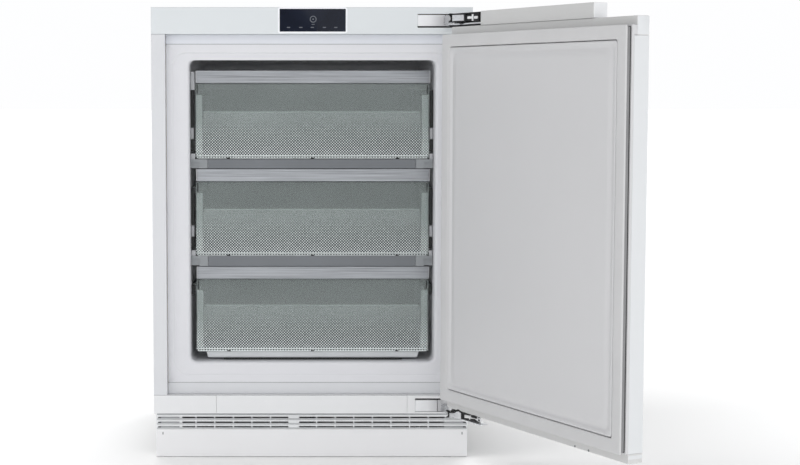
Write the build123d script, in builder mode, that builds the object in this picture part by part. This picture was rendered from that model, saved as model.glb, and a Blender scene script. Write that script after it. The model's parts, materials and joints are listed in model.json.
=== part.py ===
from build123d import *
import math
import os

# Undercounter freezer, built into a 600 mm niche. Millimetres.
# +X is to the right seen from the front, +Y goes into the cabinet, +Z is up.
# The origin is on the floor, in the middle of the width, in the plane of the
# cabinet's front. The door stands open and the three drawers are pushed in.

# ---------------------------------------------------------------- dimensions
WIDTH = 597.0  # cabinet, for a 600 mm niche
HALF = WIDTH / 2
HEIGHT = 850.0  # with the feet at the middle of their travel
BACK = 520.5  # rear plane
SHEET = 1.0  # steel sheet

FRAME_Y = 15.0  # sealing face of the frame, behind the front plane
STRIP_IN = 272.6  # inner edge of the upright front strips
FASCIA_Z = 800.0  # underside of the control fascia
FASCIA_D = 60.0
LOW_Z0, LOW_Z1 = 87.7, 122.6  # lower fascia
LOW_D = 40.0
RAIL_UP, RAIL_LOW = 782.0, 144.7  # cross rails end here

OPEN_HALF = 228.6  # food compartment
OPEN_Z0, OPEN_Z1 = 184.0, 752.8
OPEN_R = 12.0
LINER_T = 2.0
CAV_BACK = 440.0
STEP_Y, STEP_Z = 280.0, 372.0  # step over the compressor

DISP_HALF = 60.5  # display window
DISP_Z0, DISP_Z1 = 805.4, 846.6

PLINTH_HALF = 296.0
PLINTH_Y = 20.0
PLINTH_Z0 = 0.8  # the panel hangs just clear of the floor
GRILLE_Z0, GRILLE_Z1 = 54.0, 87.4

# drawers: lower edge of the front, underside of the handle rail
DRAWERS = {
    "upper": (567.6, 709.5, 425.0),
    "middle": (384.8, 525.0, 425.0),
    "lower": (188.0, 340.0, 268.0),
}
RAIL_H = 24.0
DRAWER_HALF = 221.5
TUB_HALF = 212.0
SHELVES = {"upper": 556.5, "lower": 372.4}
# the strip in front of each shelf fills the gap from one drawer's handle rail
# to the next drawer's front
SHELF_FRONTS = {"upper": (549.7, 567.0), "lower": (364.7, 384.2)}
SHELF_FRONT_HALF = 196.0
GLASS_T = 4.0

# door, in its own measures: b along its width from the hinge edge, a from the
# sealing face to the outer face
DOOR_OPEN = 116.94
HINGE_EDGE = (237.3, -57.7)  # where b = 0, a = 0 stands with the door open
DOOR_W = 541.0
DOOR_T = 44.0
SEAL_Z0, SEAL_Z1 = 125.4, 797.0
DOOR_Z0, DOOR_Z1 = 109.3, 811.5
CAP_UP, CAP_LOW = 781.0, 125.0
SEAL_W = 23.0

# two-pivot hinge: cabinet pivot, door pivot (door open)
PIVOT_1 = (250.0, 12.0)
PIVOT_2 = (262.33, -31.49)
PIN_R = 3.0
BORE_R = 3.05
UP_LINK = (814.6, 833.2)
LOW_LINK = (92.8, 106.2)

FOOT_X, FOOT_FRONT, FOOT_REAR = 262.0, 88.0, 486.0
SPINDLE_R = 5.0

os.makedirs("parts", exist_ok=True)


# ------------------------------------------------------------ working planes
def level(z):
    return Plane.XY.offset(z)


def front(y):
    """Seen from the front: local x is X, local y is Z. A negative amount goes into the cabinet."""
    return Plane.XZ.offset(-y)


def side(x):
    """Local x is Y, local y is Z, a positive amount goes to the right."""
    return Plane.YZ.offset(x)


ANG = math.radians(DOOR_OPEN)
D = (-math.cos(ANG), -math.sin(ANG))  # along the open door's width
N = (math.sin(ANG), -math.cos(ANG))  # through its thickness


def door_point(b, a, z=0.0):
    return (
        HINGE_EDGE[0] + b * D[0] + a * N[0],
        HINGE_EDGE[1] + b * D[1] + a * N[1],
        z,
    )


def door_level(z):
    """Local x is b, local y is a."""
    return Plane(origin=door_point(0, 0, z), x_dir=(*D, 0), z_dir=(0, 0, 1))


def door_face(a):
    """Seen from the food side: local x is b, local y is Z. A negative amount goes to the outer face."""
    return Plane(origin=door_point(0, a), x_dir=(*D, 0), z_dir=(-N[0], -N[1], 0))


def block(x0, x1, y0, y1, z0, z1, mode=Mode.ADD):
    with BuildSketch(level(z0)) as s:
        with Locations(((x0 + x1) / 2, (y0 + y1) / 2)):
            Rectangle(x1 - x0, y1 - y0)
    extrude(s.sketch, amount=z1 - z0, mode=mode)


def door_block(b0, b1, a0, a1, z0, z1, mode=Mode.ADD):
    with BuildSketch(door_level(z0)) as s:
        with Locations(((b0 + b1) / 2, (a0 + a1) / 2)):
            Rectangle(b1 - b0, a1 - a0)
    extrude(s.sketch, amount=z1 - z0, mode=mode)


def post(x, y, z0, z1, r, mode=Mode.ADD):
    with BuildSketch(level(z0)) as s:
        with Locations((x, y)):
            Circle(r)
    extrude(s.sketch, amount=z1 - z0, mode=mode)


def door_post(b, a, z0, z1, r, mode=Mode.ADD):
    with BuildSketch(door_level(z0)) as s:
        with Locations((b, a)):
            Circle(r)
    extrude(s.sketch, amount=z1 - z0, mode=mode)


def save(piece, label):
    piece.part.label = label
    export_step(piece.part, f"parts/{label}.step")


# ------------------------------------------------------------- cabinet shell
# Steel wrap: two sides and the top, with returns at the front, back and foot.
with BuildPart() as outer_shell:
    for x in (-HALF, HALF - SHEET):
        with BuildSketch(side(x)) as wall:
            Polygon(
                (15.2, 122.8),
                (15.2, 799.8),
                (60.2, 799.8),
                (60.2, HEIGHT),
                (BACK, HEIGHT),
                (BACK, 86),
                (40.2, 86),
                (40.2, 122.8),
                align=None,
            )
        extrude(wall.sketch, amount=SHEET)
    block(-HALF, HALF, 60.2, BACK, HEIGHT - SHEET, HEIGHT)
    for s in (-1, 1):
        x0, x1 = sorted((s * (STRIP_IN + 0.3), s * HALF))
        block(x0, x1, 15.2, 16.2, 123, 799.8)
        x0, x1 = sorted((s * 291.2, s * HALF))
        block(x0, x1, 40.2, BACK, 86, 87)
        x0, x1 = sorted((s * 284, s * HALF))
        block(x0, x1, BACK - SHEET, BACK, 86, HEIGHT)
    block(-HALF, HALF, BACK - SHEET, BACK, HEIGHT - 14, HEIGHT)
save(outer_shell, "outer_shell")

# Flat steel back over the foam, with two pressed ribs.
with BuildPart() as back_panel:
    block(-297.2, 297.2, 518.2, 519.3, 322.4, 848.8)
    for x in (-120, 120):
        with BuildSketch(front(519.3)) as rib:
            with Locations((x, 585)):
                SlotOverall(360, 26, rotation=90)
        extrude(rib.sketch, amount=-1.0)
save(back_panel, "back_panel")

# Louvred steel cover over the machine compartment.
with BuildPart() as rear_cover:
    block(-297.2, 297.2, 518.2, 519.3, 88, 321.8)
    with BuildSketch(front(518.2)) as louvres:
        with GridLocations(0, 16, 1, 8):
            with Locations((-70, 214), (150, 214)):
                SlotOverall(150, 6)
    extrude(louvres.sketch, amount=-2, mode=Mode.SUBTRACT)
    with BuildSketch(front(518.2)) as socket_hole:
        with Locations((-215, 130)):
            Rectangle(28.4, 20.4)
    extrude(socket_hole.sketch, amount=-2, mode=Mode.SUBTRACT)
save(rear_cover, "rear_cover")

# Upright strips at both sides of the front, box profiles.
for name, s in (("left", -1), ("right", 1)):
    with BuildPart() as side_trim:
        x0, x1 = sorted((s * STRIP_IN, s * HALF))
        with BuildSketch(level(LOW_Z1 + 0.3)) as profile:
            with Locations(((x0 + x1) / 2, 7.5)):
                Rectangle(x1 - x0, 15)
            fillet(profile.vertices().group_by(Axis.Y)[0], 1.0)
        extrude(profile.sketch, amount=FASCIA_Z - 0.3 - LOW_Z1 - 0.3)
        with BuildSketch(level(LOW_Z1)) as hollow:
            with Locations(((x0 + x1) / 2, 8.7)):
                Rectangle(x1 - x0 - 4, 13)
        extrude(hollow.sketch, amount=FASCIA_Z - LOW_Z1, mode=Mode.SUBTRACT)
    save(side_trim, f"side_trim_{name}")

# Cross rails above and below the frame, level with the sealing face.
for name, z0, z1 in (
    ("upper_cross_rail", RAIL_UP + 0.3, FASCIA_Z - 0.2),
    ("lower_cross_rail", LOW_Z1 + 0.2, RAIL_LOW - 0.3),
):
    with BuildPart() as cross_rail:
        with BuildSketch(side(-STRIP_IN + 0.4)) as profile:
            with Locations((FRAME_Y + 7, (z0 + z1) / 2)):
                Rectangle(14, z1 - z0)
            fillet(profile.vertices().group_by(Axis.X)[0], 0.8)
        extrude(profile.sketch, amount=2 * STRIP_IN - 0.8)
        block(-260, 260, FRAME_Y + 2, 29.5, z0 + 2, z1 - 2, mode=Mode.SUBTRACT)
    save(cross_rail, name)

# ------------------------------------------------------------ food compartment
ZM = (OPEN_Z0 + OPEN_Z1) / 2
ZH = OPEN_Z1 - OPEN_Z0
# Vacuum-formed liner: sealing flange, collar and a tub stepped over the
# compressor.
with BuildPart() as inner_liner:
    with BuildSketch(front(FRAME_Y)) as flange:
        with Locations((0, (RAIL_UP + RAIL_LOW) / 2)):
            RectangleRounded(2 * STRIP_IN - 0.8, RAIL_UP - RAIL_LOW - 0.4, 2)
    extrude(flange.sketch, amount=-2)
    with BuildSketch(front(FRAME_Y)) as collar:
        with Locations((0, ZM)):
            RectangleRounded(2 * OPEN_HALF + 14, ZH + 14, OPEN_R + 7)
    extrude(collar.sketch, amount=-11)
    with BuildSketch(front(FRAME_Y)) as tub:
        with Locations((0, ZM)):
            RectangleRounded(
                2 * (OPEN_HALF + LINER_T), ZH + 2 * LINER_T, OPEN_R + LINER_T
            )
    extrude(tub.sketch, amount=-(CAV_BACK + LINER_T - FRAME_Y))
    block(
        -240, 240, STEP_Y + LINER_T, 460, 170, STEP_Z - LINER_T, mode=Mode.SUBTRACT
    )
    with BuildSketch(front(FRAME_Y)) as hollow:
        with Locations((0, ZM)):
            RectangleRounded(2 * OPEN_HALF, ZH, OPEN_R)
    extrude(hollow.sketch, amount=-(STEP_Y - FRAME_Y), mode=Mode.SUBTRACT)
    with BuildSketch(front(STEP_Y)) as hollow_rear:
        with Locations((0, (OPEN_Z1 + STEP_Z) / 2)):
            RectangleRounded(2 * OPEN_HALF, OPEN_Z1 - STEP_Z, OPEN_R)
    extrude(hollow_rear.sketch, amount=-(CAV_BACK - STEP_Y), mode=Mode.SUBTRACT)
    block(
        -OPEN_HALF, OPEN_HALF, STEP_Y - 1, CAV_BACK, STEP_Z, 400, mode=Mode.SUBTRACT
    )
    mouth = (
        inner_liner.edges()
        .filter_by_position(Axis.Y, FRAME_Y - 0.01, FRAME_Y + 0.01)
        .filter_by_position(Axis.X, -OPEN_HALF - 0.1, OPEN_HALF + 0.1)
        .filter_by_position(Axis.Z, OPEN_Z0 - 0.1, OPEN_Z1 + 0.1)
    )
    fillet(mouth, 4.0)
save(inner_liner, "inner_liner")

# Polyurethane foam between the shell and the liner.
with BuildPart() as foam_insulation:
    with BuildSketch(side(-297.2)) as section:
        Polygon(
            (17.4, 145.2),
            (17.4, 781.4),
            (29.8, 781.4),
            (29.8, 799.4),
            (60.8, 799.4),
            (60.8, 848.6),
            (518.0, 848.6),
            (518.0, 322.4),
            (334.0, 322.4),
            (334.0, 125.0),
            (29.8, 125.0),
            (29.8, 145.2),
            align=None,
        )
    extrude(section.sketch, amount=2 * 297.2)
    with BuildSketch(front(10)) as collar:
        with Locations((0, ZM)):
            RectangleRounded(2 * OPEN_HALF + 15, ZH + 15, OPEN_R + 7.5)
    extrude(collar.sketch, amount=-16.5, mode=Mode.SUBTRACT)
    with BuildSketch(front(10)) as tub_front:
        with Locations((0, ZM)):
            RectangleRounded(
                2 * (OPEN_HALF + LINER_T) + 0.6, ZH + 2 * LINER_T + 0.6, OPEN_R + 2.3
            )
    extrude(
        tub_front.sketch, amount=-(STEP_Y + LINER_T + 0.3 - 10), mode=Mode.SUBTRACT
    )
    with BuildSketch(front(STEP_Y)) as tub_rear:
        with Locations((0, (OPEN_Z1 + STEP_Z) / 2)):
            RectangleRounded(
                2 * (OPEN_HALF + LINER_T) + 0.6,
                OPEN_Z1 - STEP_Z + 2 * LINER_T + 0.6,
                OPEN_R + 2.3,
            )
    extrude(
        tub_rear.sketch,
        amount=-(CAV_BACK + LINER_T + 0.3 - STEP_Y),
        mode=Mode.SUBTRACT,
    )
    block(
        -OPEN_HALF - 2.3, OPEN_HALF + 2.3, STEP_Y, CAV_BACK + 2.3, STEP_Z - 2.3, 400,
        mode=Mode.SUBTRACT,
    )
    block(-210, 210, 440, 453, 392, 738, mode=Mode.SUBTRACT)
    # channel for the pipes from the evaporator down to the machine compartment
    block(222, 234, 440, 453, 300, 480, mode=Mode.SUBTRACT)
    block(205, 234, 440, 453, 468, 480, mode=Mode.SUBTRACT)
save(foam_insulation, "foam_insulation")

# Serpentine evaporator tube behind the liner's rear wall.
with BuildPart() as evaporator_coil:
    pts = []
    rows = [410 + 38 * i for i in range(9)]
    for i, z in enumerate(rows):
        xs = (-185, 185) if i % 2 == 0 else (185, -185)
        pts += [(xs[0], z), (xs[1], z)]
    with BuildLine(front(447.5)) as run:
        FilletPolyline(*pts, radius=17)
    with BuildSketch(Plane(origin=run.line @ 0, z_dir=run.line % 0)) as bore:
        Circle(4)
    sweep(sections=bore.sketch, path=run.line)
save(evaporator_coil, "evaporator_coil")

# Toughened glass shelves over and under the middle drawer.
for name, z in SHELVES.items():
    with BuildPart() as glass_shelf:
        block(-227, 227, 33, 436, z, z + GLASS_T)
    save(glass_shelf, f"{name}_glass_shelf")

# Front strip of each shelf: a plate with a lip under the glass.
with BuildPart() as shelf_front_trims:
    for name, (z0, z1) in SHELF_FRONTS.items():
        z = SHELVES[name]
        block(-SHELF_FRONT_HALF, SHELF_FRONT_HALF, 29.5, 32.8, z0, z1)
        block(-SHELF_FRONT_HALF, SHELF_FRONT_HALF, 32.0, 42.0, z - 2.4, z - 0.2)
save(shelf_front_trims, "shelf_front_trims")

# Ledges on the side walls: each carries a drawer's rim, and a block at the
# front carries the glass. Beside each front strip the block is stepped: an
# inner post as high as the strip and a ledge at the top.
for name, s in (("left", -1), ("right", 1)):
    with BuildPart() as runners:
        x0, x1 = sorted((s * 216.2, s * 228.5))
        for key, (z0, z1, yb) in DRAWERS.items():
            block(x0, x1, 46, yb - 12, z1 - 24, z1 - 12.6)
        x0, x1 = sorted((s * 218.5, s * 228.5))
        for z in SHELVES.values():
            block(x0, x1, 33, STEP_Y - 10, z - 6.3, z - 0.1)
        for key, (z0, z1) in SHELF_FRONTS.items():
            z = SHELVES[key]
            x0, x1 = sorted((s * 212.0, s * 228.4))
            block(x0, x1, 31.0, 33.0, z - 6.3, z1)
            block(x0, x1, 28.6, 32.0, z1 - 5.4, z1)
            x0, x1 = sorted((s * 196.4, s * 212.6))
            block(x0, x1, 28.6, 32.8, z0, z1)
    save(runners, f"drawer_runners_{name}")

# ------------------------------------------------------------------- drawers
for name, (z0, z1, yb) in DRAWERS.items():
    with BuildPart() as tub:
        # front pane
        with BuildSketch(front(35)) as pane:
            with Locations((0, (z0 + z1 - 0.3) / 2)):
                RectangleRounded(2 * DRAWER_HALF - 2, z1 - 0.3 - z0, 6)
        extrude(pane.sketch, amount=-3)
        # basket
        with BuildSketch(level(z0 + 3)) as foot:
            with Locations((0, (37 + yb) / 2)):
                RectangleRounded(2 * TUB_HALF, yb - 37, 1.5)
        extrude(foot.sketch, amount=z1 - 10 - z0 - 3)
        with BuildSketch(level(z1 - 12)) as rim:
            with Locations((0, (37 + yb) / 2)):
                RectangleRounded(2 * 225.5, yb - 37, 1.5)
        extrude(rim.sketch, amount=2.0)
        # no rim beside the pane, where the compartment's mouth is rounded
        with BuildSketch(level(z0 + 5.5)) as hollow:
            with Locations((0, (38 + yb - 2.5) / 2)):
                RectangleRounded(2 * TUB_HALF - 5, yb - 2.5 - 38, 8)
        extrude(hollow.sketch, amount=200, mode=Mode.SUBTRACT)
    save(tub, f"{name}_drawer_tub")
    with BuildPart() as handle_rail:
        with BuildSketch(side(-DRAWER_HALF)) as profile:
            with BuildLine():
                Polyline(
                    (31, z1),
                    (31, z1 + RAIL_H),
                    (46, z1 + RAIL_H),
                    (46, z1 + RAIL_H - 2),
                    (33.4, z1 + RAIL_H - 2),
                    (33.4, z1 + 2),
                    (38, z1 + 2),
                    (38, z1),
                    close=True,
                )
            make_face()
            fillet(profile.vertices().group_by(Axis.X)[0], 0.9)
        extrude(profile.sketch, amount=2 * DRAWER_HALF)
        for s in (-1, 1):
            x0, x1 = sorted((s * (DRAWER_HALF - 2), s * (DRAWER_HALF)))
            block(x0, x1, 33, 45, z1 + 0.5, z1 + RAIL_H - 1)
    save(handle_rail, f"{name}_drawer_rail")

# ------------------------------------------------------------ control fascia
with BuildPart() as control_fascia:
    with BuildSketch(side(-HALF)) as profile:
        with Locations((FASCIA_D / 2, (FASCIA_Z + HEIGHT) / 2)):
            Rectangle(FASCIA_D, HEIGHT - FASCIA_Z)
        fillet(profile.vertices().group_by(Axis.X)[0], 1.5)
    extrude(profile.sketch, amount=WIDTH)
    block(
        -HALF + 2.5, HALF - 2.5, 3, 70, FASCIA_Z + 2.5, HEIGHT - 2.5, mode=Mode.SUBTRACT
    )
    with BuildSketch(front(-1)) as cutouts:
        with Locations((0, (DISP_Z0 + DISP_Z1) / 2)):
            RectangleRounded(2 * DISP_HALF + 0.8, DISP_Z1 - DISP_Z0 + 0.8, 2.4)
        with Locations((243, 824.75)):
            RectangleRounded(94, 25.5, 1.2)
    extrude(cutouts.sketch, amount=-5, mode=Mode.SUBTRACT)
    # ledge behind the window
    with BuildSketch(front(3)) as ledge:
        with Locations((0, (DISP_Z0 + DISP_Z1) / 2)):
            Rectangle(2 * DISP_HALF + 8, 44.9)
            Rectangle(2 * DISP_HALF - 6, 34, mode=Mode.SUBTRACT)
    extrude(ledge.sketch, amount=-1.5)
save(control_fascia, "control_fascia")

with BuildPart() as display_window:
    with BuildSketch(front(0.2)) as pane:
        with Locations((0, (DISP_Z0 + DISP_Z1) / 2)):
            RectangleRounded(2 * DISP_HALF, DISP_Z1 - DISP_Z0, 2)
    extrude(pane.sketch, amount=-2.7)
save(display_window, "display_window")

with BuildPart() as control_board:
    block(-80, 80, 14, 15.6, 806, 844)
    for x in (-70, 70):
        for z in (811, 839):
            with BuildSketch(front(4.6)) as standoff:
                with Locations((x, z)):
                    Circle(2.5)
            extrude(standoff.sketch, amount=-9.5)
    block(-52, 52, 5, 14, 812, 840)
    block(50, 72, 15.6, 27, 815, 835)
    block(-60, -40, 15.6, 24, 815, 827)
save(control_board, "control_board")

# -------------------------------------------------------------- lower fascia
for name, x0, x1 in (
    ("lower_fascia", -179.8, 179.8),
    ("lower_cover_left", -HALF, -180.2),
    ("lower_cover_right", 180.2, HALF),
):
    with BuildPart() as lower_piece:
        with BuildSketch(side(x0)) as profile:
            with Locations((LOW_D / 2, (LOW_Z0 + LOW_Z1) / 2)):
                Rectangle(LOW_D, LOW_Z1 - LOW_Z0)
            fillet(profile.vertices().group_by(Axis.X)[0], 1.2)
        extrude(profile.sketch, amount=x1 - x0)
        block(x0 + 2.2, x1 - 2.2, 2.5, 50, LOW_Z0 + 2.2, LOW_Z1 - 2.2, mode=Mode.SUBTRACT)
        if name == "lower_cover_right":
            with BuildSketch(front(-1)) as slot:
                with Locations(((195 + 292) / 2, (90.7 + 116.6) / 2)):
                    RectangleRounded(97, 25.9, 1.2)
            extrude(slot.sketch, amount=-4.5, mode=Mode.SUBTRACT)
    save(lower_piece, name)

# -------------------------------------------------------------------- plinth
# Ventilation grille: three rows of through slots between upright ribs.
SLOT_EDGES = [-247.6, -220.3, -184.7, -149.3, -113.9, -78.5, -43.4]
SLOT_EDGES_R = [-25.2, 9.0, 44.4, 79.8, 115.2, 150.6, 186.0, 221.6, 253.9]
with BuildPart() as plinth_grille:
    block(-PLINTH_HALF, PLINTH_HALF, PLINTH_Y, PLINTH_Y + 3, GRILLE_Z0, GRILLE_Z1)
    block(-PLINTH_HALF, PLINTH_HALF, PLINTH_Y, 39.8, GRILLE_Z1 - 2, GRILLE_Z1)
    for s in (-1, 1):
        x0, x1 = sorted((s * (PLINTH_HALF - 2.5), s * PLINTH_HALF))
        block(x0, x1, PLINTH_Y, 39.8, GRILLE_Z0, GRILLE_Z1)
        x0, x1 = sorted((s * 205, s * 225))
        block(x0, x1, PLINTH_Y + 2, 64, GRILLE_Z0 + 0.2, GRILLE_Z0 + 2.2)
    with BuildSketch(front(PLINTH_Y - 1)) as slots:
        for row, z in enumerate((76.0, 66.8, 58.2)):
            for edges in (SLOT_EDGES, SLOT_EDGES_R):
                for e0, e1 in zip(edges, edges[1:]):
                    with Locations(((e0 + e1) / 2, z)):
                        Rectangle(e1 - e0 - 2.2, 3.4)
    extrude(slots.sketch, amount=-5, mode=Mode.SUBTRACT)
    with BuildSketch(front(PLINTH_Y - 1)) as grooves:
        for z in (76.0, 66.8, 58.2):
            with Locations((-270, z)):
                Rectangle(40, 3.4)
            with Locations((273.5, z)):
                Rectangle(36, 3.4)
    extrude(grooves.sketch, amount=-2.2, mode=Mode.SUBTRACT)
save(plinth_grille, "plinth_grille")

with BuildPart() as plinth_panel:
    with BuildSketch(front(PLINTH_Y)) as face:
        with Locations((0, (PLINTH_Z0 + GRILLE_Z0 - 0.4) / 2)):
            Rectangle(2 * PLINTH_HALF, GRILLE_Z0 - 0.4 - PLINTH_Z0)
    extrude(face.sketch, amount=-3)
    for s in (-1, 1):
        x0, x1 = sorted((s * (PLINTH_HALF - 2.5), s * PLINTH_HALF))
        block(x0, x1, PLINTH_Y, 60, PLINTH_Z0, GRILLE_Z0 - 0.4)
        x0, x1 = sorted((s * 180, s * 200))
        block(x0, x1, PLINTH_Y + 2, 61.9, 49.3, 51.8)
    block(-PLINTH_HALF, PLINTH_HALF, PLINTH_Y, 34, GRILLE_Z0 - 2.6, GRILLE_Z0 - 0.4)
save(plinth_panel, "plinth_panel")

# ---------------------------------------------------------------- base frame
with BuildPart() as base_tray:
    block(-290.9, 290.9, 62, 518, 48, 49.2)
    for s in (-1, 1):
        x0, x1 = sorted((s * 289.7, s * 290.9))
        block(x0, x1, 62, 518, 48, 112)
    block(-290.9, 290.9, 62, 63.2, 48, 54)
    block(-290.9, 290.9, 516.8, 518, 48, 87)
    for x in (-FOOT_X, FOOT_X):
        for y in (FOOT_FRONT, FOOT_REAR):
            post(x, y, 48, 62, 12)
            post(x, y, 40, 70, SPINDLE_R + 0.1, mode=Mode.SUBTRACT)
save(base_tray, "base_tray")

# Foam strip that keeps the intake air apart from the warm exhaust.
with BuildPart() as air_divider:
    block(-4, 4, 64, 333.5, 49.4, 124.8)
save(air_divider, "air_divider")

for name, x, y in (
    ("foot_front_left", -FOOT_X, FOOT_FRONT),
    ("foot_front_right", FOOT_X, FOOT_FRONT),
    ("foot_rear_left", -FOOT_X, FOOT_REAR),
    ("foot_rear_right", FOOT_X, FOOT_REAR),
):
    with BuildPart() as foot:
        with BuildSketch(Plane(origin=(x, y, 0), x_dir=(1, 0, 0), z_dir=(0, -1, 0))) as half:
            with BuildLine():
                Polyline(
                    (0, 0),
                    (20, 0),
                    (20, 5),
                    (17, 8),
                    (9, 8),
                    (9, 16),
                    (SPINDLE_R, 16),
                    (SPINDLE_R, 92),
                    (SPINDLE_R - 1.2, 94),
                    (0, 94),
                    close=True,
                )
            make_face()
        revolve(half.sketch, axis=Axis((x, y, 0), (0, 0, 1)))
    save(foot, name)

# ------------------------------------------------------- machine compartment
CX, CY = 165.0, 428.0
with BuildPart() as compressor:
    with BuildSketch(level(68)) as plate:
        with Locations((CX, CY)):
            RectangleRounded(170, 120, 10)
        with Locations((CX, CY)):
            with GridLocations(145, 95, 2, 2):
                Circle(5.2, mode=Mode.SUBTRACT)
    extrude(plate.sketch, amount=3)
    with BuildSketch(level(71)) as can:
        with Locations((CX, CY)):
            Ellipse(66, 58)
    extrude(can.sketch, amount=58)
    with BuildSketch(level(129)) as seam:
        with Locations((CX, CY)):
            Ellipse(69, 61)
    extrude(seam.sketch, amount=4)
    with BuildSketch(level(133)) as dome:
        with Locations((CX, CY)):
            Ellipse(66, 58)
    extrude(dome.sketch, amount=44)
    fillet(compressor.edges().group_by(Axis.Z)[-1], 24)
save(compressor, "compressor")

with BuildPart() as compressor_mounts:
    with Locations((CX, CY, 0)):
        with GridLocations(145, 95, 2, 2):
            with Locations((0, 0, 49.3)):
                Cylinder(10, 18.5, align=(Align.CENTER, Align.CENTER, Align.MIN))
                Cylinder(5, 24, align=(Align.CENTER, Align.CENTER, Align.MIN))
                with Locations((0, 0, 21.9)):
                    Cylinder(8, 3, align=(Align.CENTER, Align.CENTER, Align.MIN))
save(compressor_mounts, "compressor_mounts")

with BuildPart() as terminal_box:
    block(CX - 30, CX + 30, CY - 84, CY - 61.5, 88, 122)
    fillet(terminal_box.edges().filter_by(Axis.Y), 4)
save(terminal_box, "compressor_terminal_box")

# Finned condenser block: a serpentine tube through upright fins.
with BuildPart() as condenser:
    pts = []
    for i in range(6):
        z = 78 + 24 * i
        ys = (352, 488) if i % 2 == 0 else (488, 352)
        pts += [(ys[0], z), (ys[1], z)]
    with BuildLine(side(-150)) as run:
        FilletPolyline(*pts, radius=11)
    with BuildSketch(Plane(origin=run.line @ 0, z_dir=run.line % 0)) as bore:
        Circle(4)
    sweep(sections=bore.sketch, path=run.line)
    for i in range(13):
        y = 366 + 9 * i
        block(-185, -115, y, y + 0.8, 62, 214)
    block(-186, -184.4, 362, 480, 49.4, 214)
    block(-115.6, -114, 362, 480, 49.4, 214)
save(condenser, "condenser")

with BuildPart() as filter_drier:
    with BuildSketch(
        Plane(origin=(-60, 345, 0), x_dir=(1, 0, 0), z_dir=(0, -1, 0))
    ) as half:
        with BuildLine():
            Polyline(
                (0, 200), (3, 200), (3, 208), (9, 214), (9, 268), (3, 276), (3, 284), (0, 284),
                close=True,
            )
        make_face()
    revolve(half.sketch, axis=Axis((-60, 345, 0), (0, 0, 1)))
save(filter_drier, "filter_drier")


def pipe(points, radii, r):
    with BuildLine() as run:
        FilletPolyline(*points, radius=radii)
    with BuildSketch(Plane(origin=run.line @ 0, z_dir=run.line % 0)) as bore:
        Circle(r)
    sweep(sections=bore.sketch, path=run.line)


# Copper pipes: suction line, discharge line to the condenser, and the liquid
# line from the condenser to the drier. They end on the compressor's shell.
with BuildPart() as refrigerant_pipes:
    pipe([(228, 446.5, 472), (228, 446.5, 300), (228, 480, 250), (228, 480, 150),
          (210, 455, 140)], 14, 3.2)
    pipe([(124, 400, 158), (104, 384, 225), (-20, 362, 240), (-150, 360, 226),
          (-150, 341, 212), (-150, 341, 198), (-150, 351.9, 198)],
         [12, 20, 8, 6, 5], 2.6)
    pipe([(-150, 351.9, 78), (-150, 341, 78), (-150, 341, 112), (-60, 345, 150),
          (-60, 345, 199.9)], [5, 12, 16], 2.6)
    add(compressor.part, mode=Mode.SUBTRACT)
save(refrigerant_pipes, "refrigerant_pipes")

FAN_Y, FAN_Z = 420.0, 128.0
FAN_AXIS = Axis((0, FAN_Y, FAN_Z), (1, 0, 0))
# Square fan frame with the motor on three struts.
with BuildPart() as fan_frame:
    with BuildSketch(side(-34)) as ring:
        with Locations((FAN_Y, FAN_Z)):
            RectangleRounded(124, 124, 8)
            Circle(57, mode=Mode.SUBTRACT)
            with GridLocations(106, 106, 2, 2):
                Circle(2.2, mode=Mode.SUBTRACT)
    extrude(ring.sketch, amount=25)
    with BuildSketch(side(-34)) as struts:
        with Locations((FAN_Y, FAN_Z)):
            Circle(19)
            with PolarLocations(38, 3):
                Rectangle(42, 6)
    extrude(struts.sketch, amount=3)
    with BuildSketch(side(-31)) as motor:
        with Locations((FAN_Y, FAN_Z)):
            Circle(17)
    extrude(motor.sketch, amount=6)
    with BuildSketch(side(-32)) as bearing:
        with Locations((FAN_Y, FAN_Z)):
            Circle(2.05)
    extrude(bearing.sketch, amount=8, mode=Mode.SUBTRACT)
    # legs down to the tray
    block(-34, -9, FAN_Y - 60, FAN_Y - 40, 49.4, FAN_Z - 60)
    block(-34, -9, FAN_Y + 40, FAN_Y + 60, 49.4, FAN_Z - 60)
save(fan_frame, "fan_frame")

with BuildPart() as fan_rotor:
    with BuildSketch(side(-24.4)) as hub:
        with Locations((FAN_Y, FAN_Z)):
            Circle(18)
    extrude(hub.sketch, amount=14)
    with BuildSketch(side(-31.5)) as shaft:
        with Locations((FAN_Y, FAN_Z)):
            Circle(2.0)
    extrude(shaft.sketch, amount=12)
    for i in range(7):
        t = math.radians(360 / 7 * i)
        with BuildSketch(
            Plane(
                origin=(-17.4, FAN_Y + 16 * math.cos(t), FAN_Z + 16 * math.sin(t)),
                x_dir=(math.cos(0.62), -math.sin(0.62) * math.sin(t), math.sin(0.62) * math.cos(t)),
                z_dir=(0, math.cos(t), math.sin(t)),
            )
        ) as blade:
            Rectangle(13, 1.6)
        extrude(blade.sketch, amount=36)
save(fan_rotor, "fan_rotor")

with BuildPart() as power_inlet:
    with BuildSketch(front(519.4)) as flange:
        with Locations((-215, 130)):
            RectangleRounded(48, 26, 4)
    extrude(flange.sketch, amount=-1.1)
    with BuildSketch(front(496)) as body:
        with Locations((-215, 130)):
            Rectangle(28, 20)
    extrude(body.sketch, amount=-23.5)
    with BuildSketch(front(520.5)) as socket:
        with Locations((-215, 130)):
            RectangleRounded(24.4, 16.4, 2)
    extrude(socket.sketch, amount=18, mode=Mode.SUBTRACT)
    with BuildSketch(front(516)) as pins:
        with Locations((-222, 128), (-208, 128), (-215, 132)):
            Rectangle(2, 4)
    extrude(pins.sketch, amount=14)
save(power_inlet, "power_inlet")

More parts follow.
